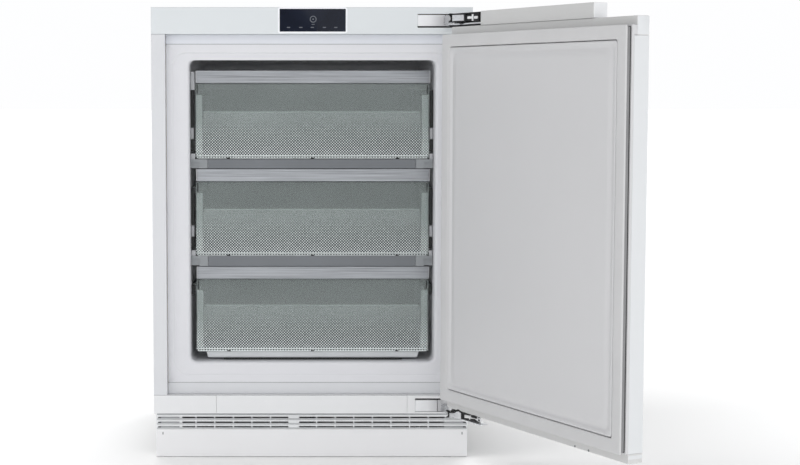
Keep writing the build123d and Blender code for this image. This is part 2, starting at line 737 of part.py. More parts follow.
# -------------------------------------------------------------------- hinges
# Cast housings behind the slots in the fascia and the lower cover.
for name, z0, z1, link in (
    ("upper_hinge_housing", 812.6, 836.9, UP_LINK),
    ("lower_hinge_housing", 90.9, 116.2, LOW_LINK),
):
    with BuildPart() as housing:
        if name[0] == "u":
            block(197, 289, 1.2, 34, z0, z1)
        else:
            block(196, 291, 1.2, 34, z0, z1)
        block(240, 300, 0, 30, link[0] - 0.4, link[1] + 0.4, mode=Mode.SUBTRACT)
        post(*PIVOT_1, link[0] - 1.2, link[1] + 1.2, PIN_R)
    save(housing, name)

# Links between the cabinet pivot and the door pivot, door open.
LX, LY = PIVOT_2[0] - PIVOT_1[0], PIVOT_2[1] - PIVOT_1[1]
LEN = math.hypot(LX, LY)
for name, (z0, z1) in (("upper_hinge_link", UP_LINK), ("lower_hinge_link", LOW_LINK)):
    with BuildPart() as link:
        with BuildSketch(
            Plane(origin=(*PIVOT_1, z0), x_dir=(LX, LY, 0), z_dir=(0, 0, 1))
        ) as bar:
            with Locations((LEN / 2, 0)):
                SlotCenterToCenter(LEN, 16)
            Circle(BORE_R, mode=Mode.SUBTRACT)
            with Locations((LEN, 0)):
                Circle(BORE_R, mode=Mode.SUBTRACT)
        extrude(bar.sketch, amount=z1 - z0)
        if z1 - z0 > 15:
            # waist between the two eyes
            with BuildSketch(
                Plane(
                    origin=(*PIVOT_1, z0 + 5), x_dir=(LX, LY, 0), z_dir=(0, 0, 1)
                )
            ) as waist:
                with Locations((LEN / 2, 8)):
                    Rectangle(LEN - 26, 6)
            extrude(waist.sketch, amount=z1 - z0 - 10, mode=Mode.SUBTRACT)
    save(link, name)

# Door-side arms: forked channels with the door pivot's pin.
PB = (PIVOT_2[0] - HINGE_EDGE[0]) * D[0] + (PIVOT_2[1] - HINGE_EDGE[1]) * D[1]
PA = (PIVOT_2[0] - HINGE_EDGE[0]) * N[0] + (PIVOT_2[1] - HINGE_EDGE[1]) * N[1]
ARM_A0, ARM_A1 = 22.6, 43.4
for name, link, base, far in (
    ("upper_hinge_arm", UP_LINK, (811.7, 814.2), 97.0),
    ("lower_hinge_arm", LOW_LINK, (106.6, 109.1), 112.0),
):
    with BuildPart() as arm:
        plates = (
            ((811.7, 814.2), (833.6, 836.1))
            if name[0] == "u"
            else ((89.9, 92.4), (106.6, 109.1))
        )
        for p0, p1 in plates:
            with BuildSketch(door_level(p0)) as plate:
                with Locations((PB, PA)):
                    Circle(9)
                with Locations(((PB + far) / 2, PA)):
                    Rectangle(far - PB, 18.0)
                with Locations((far / 2 + 6, (ARM_A0 + ARM_A1) / 2)):
                    Rectangle(far - 12, ARM_A1 - ARM_A0)
            extrude(plate.sketch, amount=p1 - p0)
        za, zb = plates[0][0], plates[1][1]
        door_block(0, far, ARM_A1 - 2, ARM_A1, za, zb)
        door_block(14, 46, ARM_A0, ARM_A0 + 2, za, zb)
        door_block(far - 12, far, ARM_A0, ARM_A1, za, zb)
        door_post(PB, PA, plates[0][0], plates[1][1], PIN_R)
        for b in (59, 76):
            if name[0] == "u":
                door_post(b, 33, za - 1, za + 3.5, 2.2, mode=Mode.SUBTRACT)
            else:
                door_post(b, 33, zb - 3.5, zb + 1, 2.2, mode=Mode.SUBTRACT)
    save(arm, name)

# Screws: housings to the cabinet front, arms to the door caps.
with BuildPart() as hinge_arm_screws:
    for b in (59, 76):
        door_post(b, 33, 796, 814.3, 2.0)
        door_post(b, 33, 814.3, 816.8, 4.0)
        door_post(b, 33, 106.5, 122, 2.0)
        door_post(b, 33, 104.0, 106.5, 4.0)
save(hinge_arm_screws, "hinge_arm_screws")

# ---------------------------------------------------------------------- door
# Steel outer skin, folded back at both edges.
with BuildPart() as door_outer_panel:
    with BuildSketch(door_level(CAP_LOW + 0.2)) as skin:
        with BuildLine():
            Polyline(
                (-1, 16),
                (-1, 44),
                (DOOR_W + 1, 44),
                (DOOR_W + 1, 16),
                (DOOR_W - 11, 16),
                (DOOR_W - 11, 17),
                (DOOR_W, 17),
                (DOOR_W, 43),
                (0, 43),
                (0, 17),
                (12, 17),
                (12, 16),
                close=True,
            )
        make_face()
    extrude(skin.sketch, amount=CAP_UP - CAP_LOW - 0.4)
save(door_outer_panel, "door_outer_panel")

with BuildPart() as door_top_cap:
    with BuildSketch(door_level(CAP_UP)) as cap:
        with Locations((DOOR_W / 2, (21 + DOOR_T) / 2)):
            Rectangle(DOOR_W + 2, DOOR_T - 21)
        fillet(cap.vertices(), 1.5)
    extrude(cap.sketch, amount=DOOR_Z1 - CAP_UP)
    fillet(door_top_cap.edges().group_by(Axis.Z)[-1], 1.2)
    door_block(4, DOOR_W - 4, 23, 42, CAP_UP - 1, CAP_UP + 8, mode=Mode.SUBTRACT)
    for b in (59, 76):
        door_post(b, 33, 794, 820, 2.2, mode=Mode.SUBTRACT)
    # screw holes for the furniture front
    for b in (40, DOOR_W - 40):
        with BuildSketch(door_face(45)) as hole:
            with Locations((b, 801)):
                Circle(2.1)
        extrude(hole.sketch, amount=13, mode=Mode.SUBTRACT)
save(door_top_cap, "door_top_cap")

with BuildPart() as door_bottom_cap:
    with BuildSketch(door_level(DOOR_Z0)) as cap:
        with Locations((DOOR_W / 2, (16 + DOOR_T) / 2)):
            Rectangle(DOOR_W + 2, DOOR_T - 16)
        fillet(cap.vertices(), 1.5)
    extrude(cap.sketch, amount=CAP_LOW - DOOR_Z0)
    fillet(door_bottom_cap.edges().group_by(Axis.Z)[0], 1.2)
    for b in (59, 76):
        door_post(b, 33, 100, 122.5, 2.2, mode=Mode.SUBTRACT)
    for b in (40, DOOR_W - 40):
        with BuildSketch(door_face(45)) as hole:
            with Locations((b, 117)):
                Circle(2.1)
        extrude(hole.sketch, amount=13, mode=Mode.SUBTRACT)
save(door_bottom_cap, "door_bottom_cap")

SEAL_ZM, SEAL_ZH = (SEAL_Z0 + SEAL_Z1) / 2, SEAL_Z1 - SEAL_Z0
# Inner skin: a flat pan inside the seal, with a flange under the seal and a
# shallow channel round a level middle.
with BuildPart() as door_inner_liner:
    with BuildSketch(door_face(14)) as flange:
        with Locations((DOOR_W / 2, SEAL_ZM)):
            Rectangle(DOOR_W, SEAL_ZH)
    extrude(flange.sketch, amount=-1.9)
    with BuildSketch(door_face(1)) as pan:
        with Locations((DOOR_W / 2, SEAL_ZM)):
            RectangleRounded(DOOR_W - 2 * SEAL_W, SEAL_ZH - 2 * SEAL_W, 4)
    extrude(pan.sketch, amount=-14)
    with BuildSketch(door_face(3)) as pocket:
        with Locations((DOOR_W / 2, SEAL_ZM)):
            RectangleRounded(DOOR_W - 2 * SEAL_W - 4, SEAL_ZH - 2 * SEAL_W - 4, 2)
    extrude(pocket.sketch, amount=-20, mode=Mode.SUBTRACT)
    with BuildSketch(door_face(0)) as channel:
        with Locations((DOOR_W / 2, SEAL_ZM)):
            RectangleRounded(DOOR_W - 2 * SEAL_W - 15, SEAL_ZH - 2 * SEAL_W - 15, 18)
            RectangleRounded(
                DOOR_W - 2 * SEAL_W - 33,
                SEAL_ZH - 2 * SEAL_W - 33,
                14,
                mode=Mode.SUBTRACT,
            )
    extrude(channel.sketch, amount=-1.9, mode=Mode.SUBTRACT)
    door_block(0, DOOR_W, 15.9, 20.8, CAP_UP + 0.2, SEAL_Z1)
save(door_inner_liner, "door_inner_liner")

# Magnetic seal: a flat lip over narrower bellows.
with BuildPart() as door_gasket:
    with BuildSketch(door_face(0)) as lip:
        with Locations((DOOR_W / 2, SEAL_ZM)):
            RectangleRounded(DOOR_W, SEAL_ZH, 3)
            RectangleRounded(
                DOOR_W - 2 * SEAL_W + 0.6,
                SEAL_ZH - 2 * SEAL_W + 0.6,
                4.3,
                mode=Mode.SUBTRACT,
            )
    extrude(lip.sketch, amount=-6.5)
    with BuildSketch(door_face(6.5)) as bellows:
        with Locations((DOOR_W / 2, SEAL_ZM)):
            RectangleRounded(DOOR_W - 10, SEAL_ZH - 10, 3)
            RectangleRounded(
                DOOR_W - 2 * SEAL_W + 0.6,
                SEAL_ZH - 2 * SEAL_W + 0.6,
                4.3,
                mode=Mode.SUBTRACT,
            )
    extrude(bellows.sketch, amount=-7.4)
save(door_gasket, "door_gasket")

with BuildPart() as door_foam:
    with BuildSketch(door_face(3.2)) as fill:
        with Locations((DOOR_W / 2, SEAL_ZM)):
            RectangleRounded(DOOR_W - 2 * SEAL_W - 5, SEAL_ZH - 2 * SEAL_W - 5, 4)
    extrude(fill.sketch, amount=-20)
    door_block(0.3, DOOR_W - 0.3, 17.3, 42.7, CAP_LOW + 0.4, CAP_UP - 0.4)
save(door_foam, "door_foam")

# Bracket for the furniture front on the door's top, with two adjusting
# studs, under a clip-on cover.
with BuildPart() as mounting_bracket:
    door_block(103, 427, 23, 41, DOOR_Z1 + 0.1, DOOR_Z1 + 2.1)
    door_block(103, 427, 39, 41, DOOR_Z1 + 0.1, 831)
    for b in (150, 380):
        door_post(b, 31, DOOR_Z1 - 1, DOOR_Z1 + 4, 3.1, mode=Mode.SUBTRACT)
save(mounting_bracket, "mounting_bracket")

with BuildPart() as adjusting_studs:
    for b in (150, 380):
        door_post(b, 31, DOOR_Z1 + 0.2, 832.5, 3.0)
        with BuildSketch(door_level(DOOR_Z1 + 2.2)) as nut:
            with Locations((b, 31)):
                RegularPolygon(5.5, 6)
        extrude(nut.sketch, amount=5)
save(adjusting_studs, "adjusting_studs")

with BuildPart() as bracket_cover:
    with BuildSketch(door_level(DOOR_Z1 + 0.1)) as plan:
        with Locations(((98.5 + 432) / 2, (19 + 44) / 2)):
            Rectangle(432 - 98.5, 25)
        fillet(plan.vertices(), 1.2)
    extrude(plan.sketch, amount=25)
    fillet(bracket_cover.edges().group_by(Axis.Z)[-1], 1.0)
    door_block(100.5, 430, 21, 42, DOOR_Z1, 834.5, mode=Mode.SUBTRACT)
save(bracket_cover, "bracket_cover")
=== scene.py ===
import json
import math

import bmesh
import bpy
from mathutils import Matrix, Vector


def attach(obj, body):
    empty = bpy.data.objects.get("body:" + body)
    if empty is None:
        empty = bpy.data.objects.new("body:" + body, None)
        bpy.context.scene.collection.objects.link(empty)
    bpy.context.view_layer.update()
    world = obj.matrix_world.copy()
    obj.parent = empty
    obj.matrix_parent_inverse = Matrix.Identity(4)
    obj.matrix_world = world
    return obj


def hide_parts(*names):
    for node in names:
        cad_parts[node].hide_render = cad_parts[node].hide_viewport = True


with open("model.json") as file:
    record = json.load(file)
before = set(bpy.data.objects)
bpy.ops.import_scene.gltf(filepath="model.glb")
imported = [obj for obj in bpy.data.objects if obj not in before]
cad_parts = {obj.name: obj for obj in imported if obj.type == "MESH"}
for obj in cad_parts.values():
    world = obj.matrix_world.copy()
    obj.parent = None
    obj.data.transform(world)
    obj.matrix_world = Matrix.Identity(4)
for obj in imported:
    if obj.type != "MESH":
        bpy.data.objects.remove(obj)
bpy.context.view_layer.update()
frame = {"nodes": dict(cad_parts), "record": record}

# Undercounter freezer, door open. Metres, +X right, +Y into the cabinet, +Z up.
NODE = frame["nodes"]
SLOT = {s["node"]: s["material_slot"] for s in frame["record"]["subparts"]}


def mm(*v):
    return tuple(a / 1000.0 for a in v)


# ------------------------------------------------------------------ materials
class Mat:
    """A Principled material with its variation built from object coordinates."""

    def __init__(self, name, base, rough, metal=0.0, spec=0.5):
        self.m = bpy.data.materials.new(name)
        self.m.use_nodes = True
        self.t = self.m.node_tree
        self.b = self.t.nodes["Principled BSDF"]
        self.b.inputs["Base Color"].default_value = (*base, 1)
        self.b.inputs["Roughness"].default_value = rough
        self.b.inputs["Metallic"].default_value = metal
        self.b.inputs["Specular IOR Level"].default_value = spec
        self.base, self.rough = base, rough
        self.co = self.t.nodes.new("ShaderNodeTexCoord").outputs["Object"]

    def node(self, kind, **values):
        n = self.t.nodes.new(kind)
        for k, v in values.items():
            setattr(n, k, v)
        return n

    def link(self, a, b):
        self.t.links.new(a, b)

    def set(self, **values):
        for k, v in values.items():
            self.b.inputs[k.replace("_", " ")].default_value = v
        return self

    def scaled(self, sx, sy, sz, turn=(0, 0, 0)):
        n = self.node("ShaderNodeMapping")
        n.inputs["Scale"].default_value = (sx, sy, sz)
        n.inputs["Rotation"].default_value = turn
        self.link(self.co, n.inputs["Vector"])
        return n.outputs["Vector"]

    def noise(self, scale, detail=4.0, rough=0.55, vector=None, distort=0.0):
        n = self.node("ShaderNodeTexNoise")
        n.inputs["Scale"].default_value = scale
        n.inputs["Detail"].default_value = detail
        n.inputs["Roughness"].default_value = rough
        n.inputs["Distortion"].default_value = distort
        self.link(vector if vector is not None else self.co, n.inputs["Vector"])
        return n.outputs["Fac"]

    def ramp(self, fac, stops):
        n = self.node("ShaderNodeValToRGB")
        e = n.color_ramp.elements
        e[0].position, e[0].color = stops[0][0], (*stops[0][1], 1)
        e[1].position, e[1].color = stops[-1][0], (*stops[-1][1], 1)
        for p, c in stops[1:-1]:
            x = e.new(p)
            x.color = (*c, 1)
        self.link(fac, n.inputs["Fac"])
        return n.outputs["Color"]

    def range(self, fac, lo, hi, f0=0.3, f1=0.7):
        n = self.node("ShaderNodeMapRange")
        for k, v in zip(("From Min", "From Max", "To Min", "To Max"), (f0, f1, lo, hi)):
            n.inputs[k].default_value = v
        self.link(fac, n.inputs["Value"])
        return n.outputs["Result"]

    def tint(self, fac, amount, f0=0.3, f1=0.7):
        """Colour varies by that share of the base around it."""
        lo = tuple(c * (1 - amount) for c in self.base)
        hi = tuple(min(1.0, c * (1 + amount)) for c in self.base)
        self.link(self.ramp(fac, [(f0, lo), (f1, hi)]), self.b.inputs["Base Color"])
        return self

    def shine(self, fac, spread, f0=0.3, f1=0.7):
        self.link(
            self.range(fac, max(0.02, self.rough - spread), self.rough + spread, f0, f1),
            self.b.inputs["Roughness"],
        )
        return self

    def bump(self, fac, depth_mm, strength=1.0):
        n = self.node("ShaderNodeBump")
        n.inputs["Strength"].default_value = strength
        n.inputs["Distance"].default_value = depth_mm / 1000.0
        self.link(fac, n.inputs["Height"])
        self.link(n.outputs["Normal"], self.b.inputs["Normal"])
        return self

    def math(self, op, a, b=None, clamp=False):
        n = self.node("ShaderNodeMath", operation=op, use_clamp=clamp)
        for i, v in enumerate((a, b)):
            if v is None:
                continue
            if isinstance(v, (int, float)):
                n.inputs[i].default_value = v
            else:
                self.link(v, n.inputs[i])
        return n.outputs[0]


def enamel(name, base, rough, peel_mm=0.012, peel=420.0, cloud=3.0, amount=0.012, coat=0.0):
    """Sprayed or moulded white: a slow drift in tone and a fine peel."""
    m = Mat(name, base, rough)
    m.tint(m.noise(cloud, 3.0), amount)
    m.shine(m.noise(38.0, 5.0), 0.05)
    m.bump(m.noise(peel, 3.0, 0.5), peel_mm)
    if coat:
        m.set(Coat_Weight=coat, Coat_Roughness=0.18)
    return m.m


MATERIAL = {}
MATERIAL["white_steel"] = enamel("white_steel", (0.710, 0.727, 0.742), 0.36, coat=0.25)
MATERIAL["white_trim"] = enamel("white_trim", (0.657, 0.667, 0.689), 0.38, coat=0.2)
MATERIAL["white_plastic"] = enamel("white_plastic", (0.730, 0.755, 0.780), 0.42, 0.02, 900.0)
MATERIAL["liner_white"] = enamel("liner_white", (0.690, 0.693, 0.720), 0.33, 0.03, 160.0)
# lighter, like the plinth's, to offset the shade under the overhang: painted light
MATERIAL["grille_white"] = enamel("grille_white", (0.79, 0.80, 0.81), 0.45, 0.02, 900.0)


def gasket():
    m = Mat("gasket_white", (0.610, 0.610, 0.616), 0.62, spec=0.35)
    m.tint(m.noise(14.0, 4.0), 0.02)
    m.shine(m.noise(60.0, 4.0), 0.06)
    m.bump(m.noise(1400.0, 2.0), 0.012)
    m.set(Sheen_Weight=0.15, Sheen_Roughness=0.5)
    return m.m


MATERIAL["gasket_white"] = gasket()


def rail():
    """Aluminium brushed along X: long fine streaks over broader bands."""
    m = Mat("rail_aluminium", (0.352, 0.366, 0.388), 0.38, metal=0.9)
    fine = m.noise(1.0, 6.0, 0.65, m.scaled(14, 300, 2600))
    broad = m.noise(1.0, 3.0, 0.5, m.scaled(5, 60, 420))
    both = m.math("ADD", m.math("MULTIPLY", fine, 0.6), m.math("MULTIPLY", broad, 0.4))
    m.tint(both, 0.42, 0.36, 0.64)
    m.shine(both, 0.09, 0.36, 0.64)
    m.bump(both, 0.05)
    m.set(Anisotropic=0.6)
    return m.m


MATERIAL["rail_aluminium"] = rail()


def metal(name, base, rough, grain=(60, 60, 900), amount=0.06, depth=0.02, metallic=1.0):
    m = Mat(name, base, rough, metal=metallic)
    f = m.noise(1.0, 5.0, 0.6, m.scaled(*grain))
    m.tint(f, amount)
    m.shine(f, 0.08)
    m.bump(f, depth)
    return m.m


MATERIAL["zinc_steel"] = metal("zinc_steel", (0.66, 0.67, 0.68), 0.30)
MATERIAL["copper"] = metal("copper", (0.80, 0.42, 0.27), 0.30, (90, 90, 90), 0.16)
MATERIAL["aluminium_tube"] = metal("aluminium_tube", (0.74, 0.75, 0.77), 0.34, (90, 90, 90))


def galvanised():
    """Zinc coating with its crystal spangle."""
    m = Mat("galvanised_steel", (0.56, 0.575, 0.59), 0.42, metal=0.85)
    v = m.node("ShaderNodeTexVoronoi")
    v.inputs["Scale"].default_value = 95.0
    v.inputs["Randomness"].default_value = 1.0
    m.link(m.co, v.inputs["Vector"])
    g = m.node("ShaderNodeRGBToBW")
    m.link(v.outputs["Color"], g.inputs[0])
    m.tint(g.outputs[0], 0.13, 0.1, 0.9)
    m.shine(g.outputs[0], 0.10, 0.1, 0.9)
    m.bump(m.noise(300.0, 3.0), 0.02)
    return m.m


MATERIAL["galvanised_steel"] = galvanised()


def moulded(name, base, rough, scale=1500.0, depth=0.025, spec=0.45):
    m = Mat(name, base, rough, spec=spec)
    m.tint(m.noise(9.0, 4.0), 0.07)
    m.shine(m.noise(70.0, 4.0), 0.06)
    m.bump(m.noise(scale, 2.0), depth)
    return m.m




def runner():
    """Grey moulded blocks at the front, dark sliding ledges behind them."""
    m = Mat("runner_grey", (0.25, 0.265, 0.28), 0.45)
    xyz = m.node("ShaderNodeSeparateXYZ")
    m.link(m.co, xyz.inputs[0])
    back = m.range(xyz.outputs["Y"], 0.0, 1.0, 0.0340, 0.0346)
    front = m.ramp(m.noise(9.0, 4.0), [(0.3, (0.235, 0.25, 0.262)), (0.7, (0.27, 0.285, 0.30))])
    mix = m.node("ShaderNodeMix", data_type="RGBA")
    m.link(back, mix.inputs[0])
    m.link(front, mix.inputs[6])
    mix.inputs[7].default_value = (0.075, 0.08, 0.085, 1)
    m.link(mix.outputs[2], m.b.inputs["Base Color"])
    m.shine(m.noise(70.0, 4.0), 0.06)
    m.bump(m.noise(1500.0, 2.0), 0.025)
    return m.m


MATERIAL["runner_grey"] = runner()
MATERIAL["strip_slate"] = moulded("strip_slate", (0.155, 0.166, 0.180), 0.42, 400.0, 0.02)
MATERIAL["black_plastic"] = moulded("black_plastic", (0.022, 0.022, 0.024), 0.48)
MATERIAL["black_rubber"] = moulded("black_rubber", (0.018, 0.018, 0.019), 0.78, 700.0, 0.05, 0.25)
MATERIAL["black_enamel"] = moulded("black_enamel", (0.014, 0.014, 0.015), 0.26, 240.0, 0.03, 0.6)
MATERIAL["foot_grey"] = moulded("foot_grey", (0.085, 0.088, 0.092), 0.55)
MATERIAL["hinge_cover_grey"] = moulded("hinge_cover_grey", (0.60, 0.60, 0.615), 0.34, 300.0, 0.03)
MATERIAL["circuit_green"] = moulded("circuit_green", (0.02, 0.14, 0.055), 0.35, 500.0, 0.03)


def foam():
    m = Mat("foam", (0.80, 0.70, 0.45), 0.9, spec=0.2)
    v = m.node("ShaderNodeTexVoronoi")
    v.inputs["Scale"].default_value = 330.0
    m.link(m.co, v.inputs["Vector"])
    m.tint(v.outputs["Distance"], 0.15, 0.0, 0.8)
    m.bump(v.outputs["Distance"], 0.3)
    return m.m


MATERIAL["foam"] = foam()


def display():
    m = Mat("display_black", (0.010, 0.013, 0.024), 0.03, spec=0.5)
    m.tint(m.noise(16.0, 2.0), 0.22)
    m.shine(m.noise(42.0, 5.0), 0.008)
    return m.m


MATERIAL["display_black"] = display()


def glass_sheet():
    m = Mat("shelf_glass", (0.46, 0.52, 0.52), 0.07, spec=0.6)
    m.tint(m.noise(7.0, 2.0), 0.04)
    m.shine(m.noise(45.0, 4.0), 0.02)
    m.set(Alpha=0.42)
    m.m.surface_render_method = "BLENDED"
    return m.m


MATERIAL["shelf_glass"] = glass_sheet()


def clear_plastic(name, alpha, tone=(0.45, 0.505, 0.495)):
    """Faintly green clear moulding. Thin: it tints more than it bends light."""
    m = Mat(name, tone, 0.14, spec=0.55)
    m.tint(m.noise(8.0, 3.0), 0.05)
    m.shine(m.noise(50.0, 4.0), 0.04)
    m.bump(m.noise(60.0, 2.0), 0.02)
    m.set(Alpha=alpha)
    m.m.surface_render_method = "BLENDED"
    return m.m


MATERIAL["drawer_clear"] = clear_plastic("drawer_clear", 0.20)


def dotted_pane(name, z0):
    """The clear front with its printed dots: staggered rows, large and dense at
    the bottom, gone 75 mm up, with darker clear plastic between them."""
    m = Mat(name, (0.40, 0.455, 0.445), 0.12, spec=0.4)
    xyz = m.node("ShaderNodeSeparateXYZ")
    m.link(m.co, xyz.inputs[0])
    k = 2 * math.pi / 0.0052
    base = z0 / 1000.0
    x = m.math("MULTIPLY", xyz.outputs["X"], k)
    z = m.math("MULTIPLY", m.math("SUBTRACT", xyz.outputs["Z"], base), k)
    lattice = m.math("MULTIPLY", m.math("COSINE", x), m.math("COSINE", z))
    need = m.range(xyz.outputs["Z"], 0.16, 1.0, base + 0.012, base + 0.078)
    dots = m.range(m.math("SUBTRACT", lattice, need), 0.0, 1.0, 0.0, 0.16)
    deep = m.range(xyz.outputs["Z"], 1.0, 0.0, base + 0.018, base + 0.074)
    side = m.range(m.math("ABSOLUTE", xyz.outputs["X"]), 1.0, 0.0, 0.2058, 0.2068)
    deep = m.math("MULTIPLY", deep, side)
    between = m.math("MULTIPLY", deep, m.math("SUBTRACT", 1.0, dots))
    tint = m.ramp(m.noise(8.0, 3.0), [(0.3, (0.38, 0.43, 0.42)), (0.7, (0.42, 0.475, 0.465))])
    dim = m.node("ShaderNodeMix", data_type="RGBA")
    m.link(between, dim.inputs[0])
    m.link(tint, dim.inputs[6])
    dim.inputs[7].default_value = (0.055, 0.072, 0.075, 1)
    mix = m.node("ShaderNodeMix", data_type="RGBA")
    m.link(dots, mix.inputs[0])
    m.link(dim.outputs[2], mix.inputs[6])
    mix.inputs[7].default_value = (0.80, 0.84, 0.84, 1)
    m.link(mix.outputs[2], m.b.inputs["Base Color"])
    cover = m.math("ADD", m.math("MULTIPLY", between, 0.50), m.math("MULTIPLY", dots, 0.74))
    m.link(m.range(cover, 0.26, 0.96, 0.0, 0.74), m.b.inputs["Alpha"])
    m.link(m.range(dots, 0.12, 0.55, 0.0, 1.0), m.b.inputs["Roughness"])
    m.bump(m.noise(60.0, 2.0), 0.02)
    m.m.surface_render_method = "BLENDED"
    return m.m


MATERIAL["door_white"] = enamel("door_white", (0.622, 0.622, 0.632), 0.34, 0.03, 160.0)
FRONT_WALL = clear_plastic("drawer_front_wall", 0.36, (0.50, 0.56, 0.55))
FROSTED = clear_plastic("drawer_frosted", 0.74, (0.50, 0.57, 0.555))
FROSTED.node_tree.nodes["Principled BSDF"].inputs["Roughness"].default_value = 0.4
BEAD = moulded("pane_bead", (0.70, 0.75, 0.745), 0.25)
TRAY = moulded("drawer_foot", (0.60, 0.62, 0.635), 0.35)
END_CAP = moulded("rail_end_cap", (0.40, 0.41, 0.425), 0.40)
# black for the drawer clips, and painted shadow beside and under the drawers
SLIDE_AND_SHADOW_BLACK = moulded("slide_and_shadow_black", (0.012, 0.014, 0.014), 0.6)
# grey for joints, grooves and the line under the lower fascia: painted shade
GAP_SHADE = moulded("gap_painted_shade", (0.30, 0.31, 0.32), 0.55)
MARK = moulded("display_mark", (0.11, 0.12, 0.14), 0.35)
FRAME_WHITE = enamel("display_frame_white", (0.86, 0.87, 0.90), 0.30, 0.01, 900.0)
# dark copy of the hinge steel: painted shade on the upper channel plate and on two patches of the lower end plate
STEEL_SHADE = metal("hinge_steel_shade", (0.045, 0.047, 0.050), 0.38, (60, 60, 400), 0.15)
ZINC_BRIGHT = metal("hinge_zinc", (0.78, 0.79, 0.81), 0.34, (60, 60, 500), 0.05, 0.01, 0.55)
# black for dark hinge parts, and painted shadow in the seal gap, hinge cavities, hinge slots and grille groove ends
BLACK_AND_SHADOW = moulded("black_and_painted_shadow", (0.008, 0.008, 0.009), 0.55)
SCREW_GREY = metal("screw_grey", (0.24, 0.25, 0.26), 0.38, (200, 200, 200), 0.08)

CORE_WHITE = moulded("hinge_core", (0.86, 0.865, 0.87), 0.40)
# grey copy of the white gasket for its folded bellows: painted shade
FOLD_SHADE = moulded("seal_fold_shade", (0.26, 0.26, 0.265), 0.7)
# grey for the bands under the grille slots: painted shade
LOUVRE_SHADE = moulded("grille_louvre", (0.47, 0.48, 0.49), 0.5)
# lit and shaded copies of the cover white: the end face lighter as painted light, the cover and door caps darker as
# painted shade
COVER_END_LIT = enamel("cover_end", (0.86, 0.87, 0.885), 0.40, 0.02, 900.0)
COVER_SHADED = enamel("cover_shaded_white", (0.632, 0.633, 0.630), 0.42, 0.02, 900.0)
FASCIA_WHITE = enamel("fascia_white", (0.675, 0.706, 0.723), 0.42, 0.02, 900.0)
BASE_WHITE = enamel("base_white", (0.755, 0.762, 0.772), 0.42, 0.02, 900.0)
RAIL_WHITE = enamel("cross_rail_white", (0.706, 0.724, 0.772), 0.38, coat=0.2)
# a lighter white that offsets the shade under the cabinet's overhang: painted light
PLINTH_LIGHTENED = enamel("plinth_white_painted_light", (0.812, 0.812, 0.822), 0.40, 0.02, 900.0)
VARIANT = {
    "upper_cross_rail": RAIL_WHITE, "control_fascia": FASCIA_WHITE, "lower_fascia": BASE_WHITE, "lower_cover_left": BASE_WHITE,
    "lower_cover_right": BASE_WHITE, "plinth_panel": PLINTH_LIGHTENED, "bracket_cover": COVER_SHADED,
    "door_top_cap": COVER_SHADED, "door_bottom_cap": COVER_SHADED,
}  # fmt: skip

for name, o in NODE.items():
    o.data.materials.clear()
    o.data.materials.append(VARIANT.get(name, MATERIAL[SLOT[name]]))


# ---------------------------------------------------------------- mesh helpers
ANG = math.radians(116.94)
DX, DY = -math.cos(ANG), -math.sin(ANG)
NX, NY = math.sin(ANG), -math.cos(ANG)
HX, HY = 237.3, -57.7


def door(b, z, a):
    """b along the open door from its hinge edge, a from the sealing face outwards."""
    return (HX + b * DX + a * NX, HY + b * DY + a * NY, z)


def cab(x, z, y):
    return (x, y, z)


def plan(x, y, z):
    return (x, y, z)


def outline(u0, u1, v0, v1, r, n):
    r = max(0.05, min(r, (u1 - u0) / 2 - 0.01, (v1 - v0) / 2 - 0.01))
    pts = []
    for cu, cv, t0 in (
        (u1 - r, v0 + r, -90),
        (u1 - r, v1 - r, 0),
        (u0 + r, v1 - r, 90),
        (u0 + r, v0 + r, 180),
    ):
        for i in range(n + 1):
            t = math.radians(t0 + 90.0 * i / n)
            pts.append((cu + r * math.cos(t), cv + r * math.sin(t)))
    return pts


def loft(bm, place, rings, n=6, loop=False, cap0=False, cap1=False):
    """Joins rounded rectangles (u0, u1, v0, v1, radius, depth) one to the next."""
    rows = [
        [bm.verts.new(mm(*place(u, v, d))) for u, v in outline(u0, u1, v0, v1, r, n)]
        for u0, u1, v0, v1, r, d in rings
    ]
    return bridge(bm, rows, loop, cap0, cap1, True)


def bridge(bm, rows, loop=False, cap0=False, cap1=False, round_=True):
    m = len(rows[0])
    pairs = list(zip(rows, rows[1:])) + ([(rows[-1], rows[0])] if loop else [])
    for a, b in pairs:
        for i in range(m if round_ else m - 1):
            j = (i + 1) % m
            bm.faces.new((a[i], a[j], b[j], b[i]))
    if cap0:
        bm.faces.new(rows[0][::-1])
    if cap1:
        bm.faces.new(rows[-1])
    return bm


def pad(bm, place, u0, u1, v0, v1, d0, d1, r=1.0, c=0.4, n=3, steps=3):
    """A block with rounded corners and rounded rims at both ends."""
    c = min(c, (d1 - d0) / 2 - 0.001)
    rings = []
    for k in range(steps + 1):
        t = math.pi / 2 * k / steps
        i, e = c * (1 - math.sin(t)), c * (1 - math.cos(t))
        rings.append((u0 + i, u1 - i, v0 + i, v1 - i, r - i, d0 + e))
    for k in range(steps, -1, -1):
        t = math.pi / 2 * k / steps
        i, e = c * (1 - math.sin(t)), c * (1 - math.cos(t))
        rings.append((u0 + i, u1 - i, v0 + i, v1 - i, r - i, d1 - e))
    return loft(bm, place, rings, n, cap0=True, cap1=True)


def turned(bm, place, u, v, profile, n=20):
    """A turned form: (radius, depth) steps about the depth axis through u, v."""
    rows = []
    for rho, d in profile:
        rho = max(rho, 0.02)
        rows.append(
            [
                bm.verts.new(
                    mm(
                        *place(
                            u + rho * math.cos(2 * math.pi * i / n),
                            v + rho * math.sin(2 * math.pi * i / n),
                            d,
                        )
                    )
                )
                for i in range(n)
            ]
        )
    return bridge(bm, rows, False, True, True)


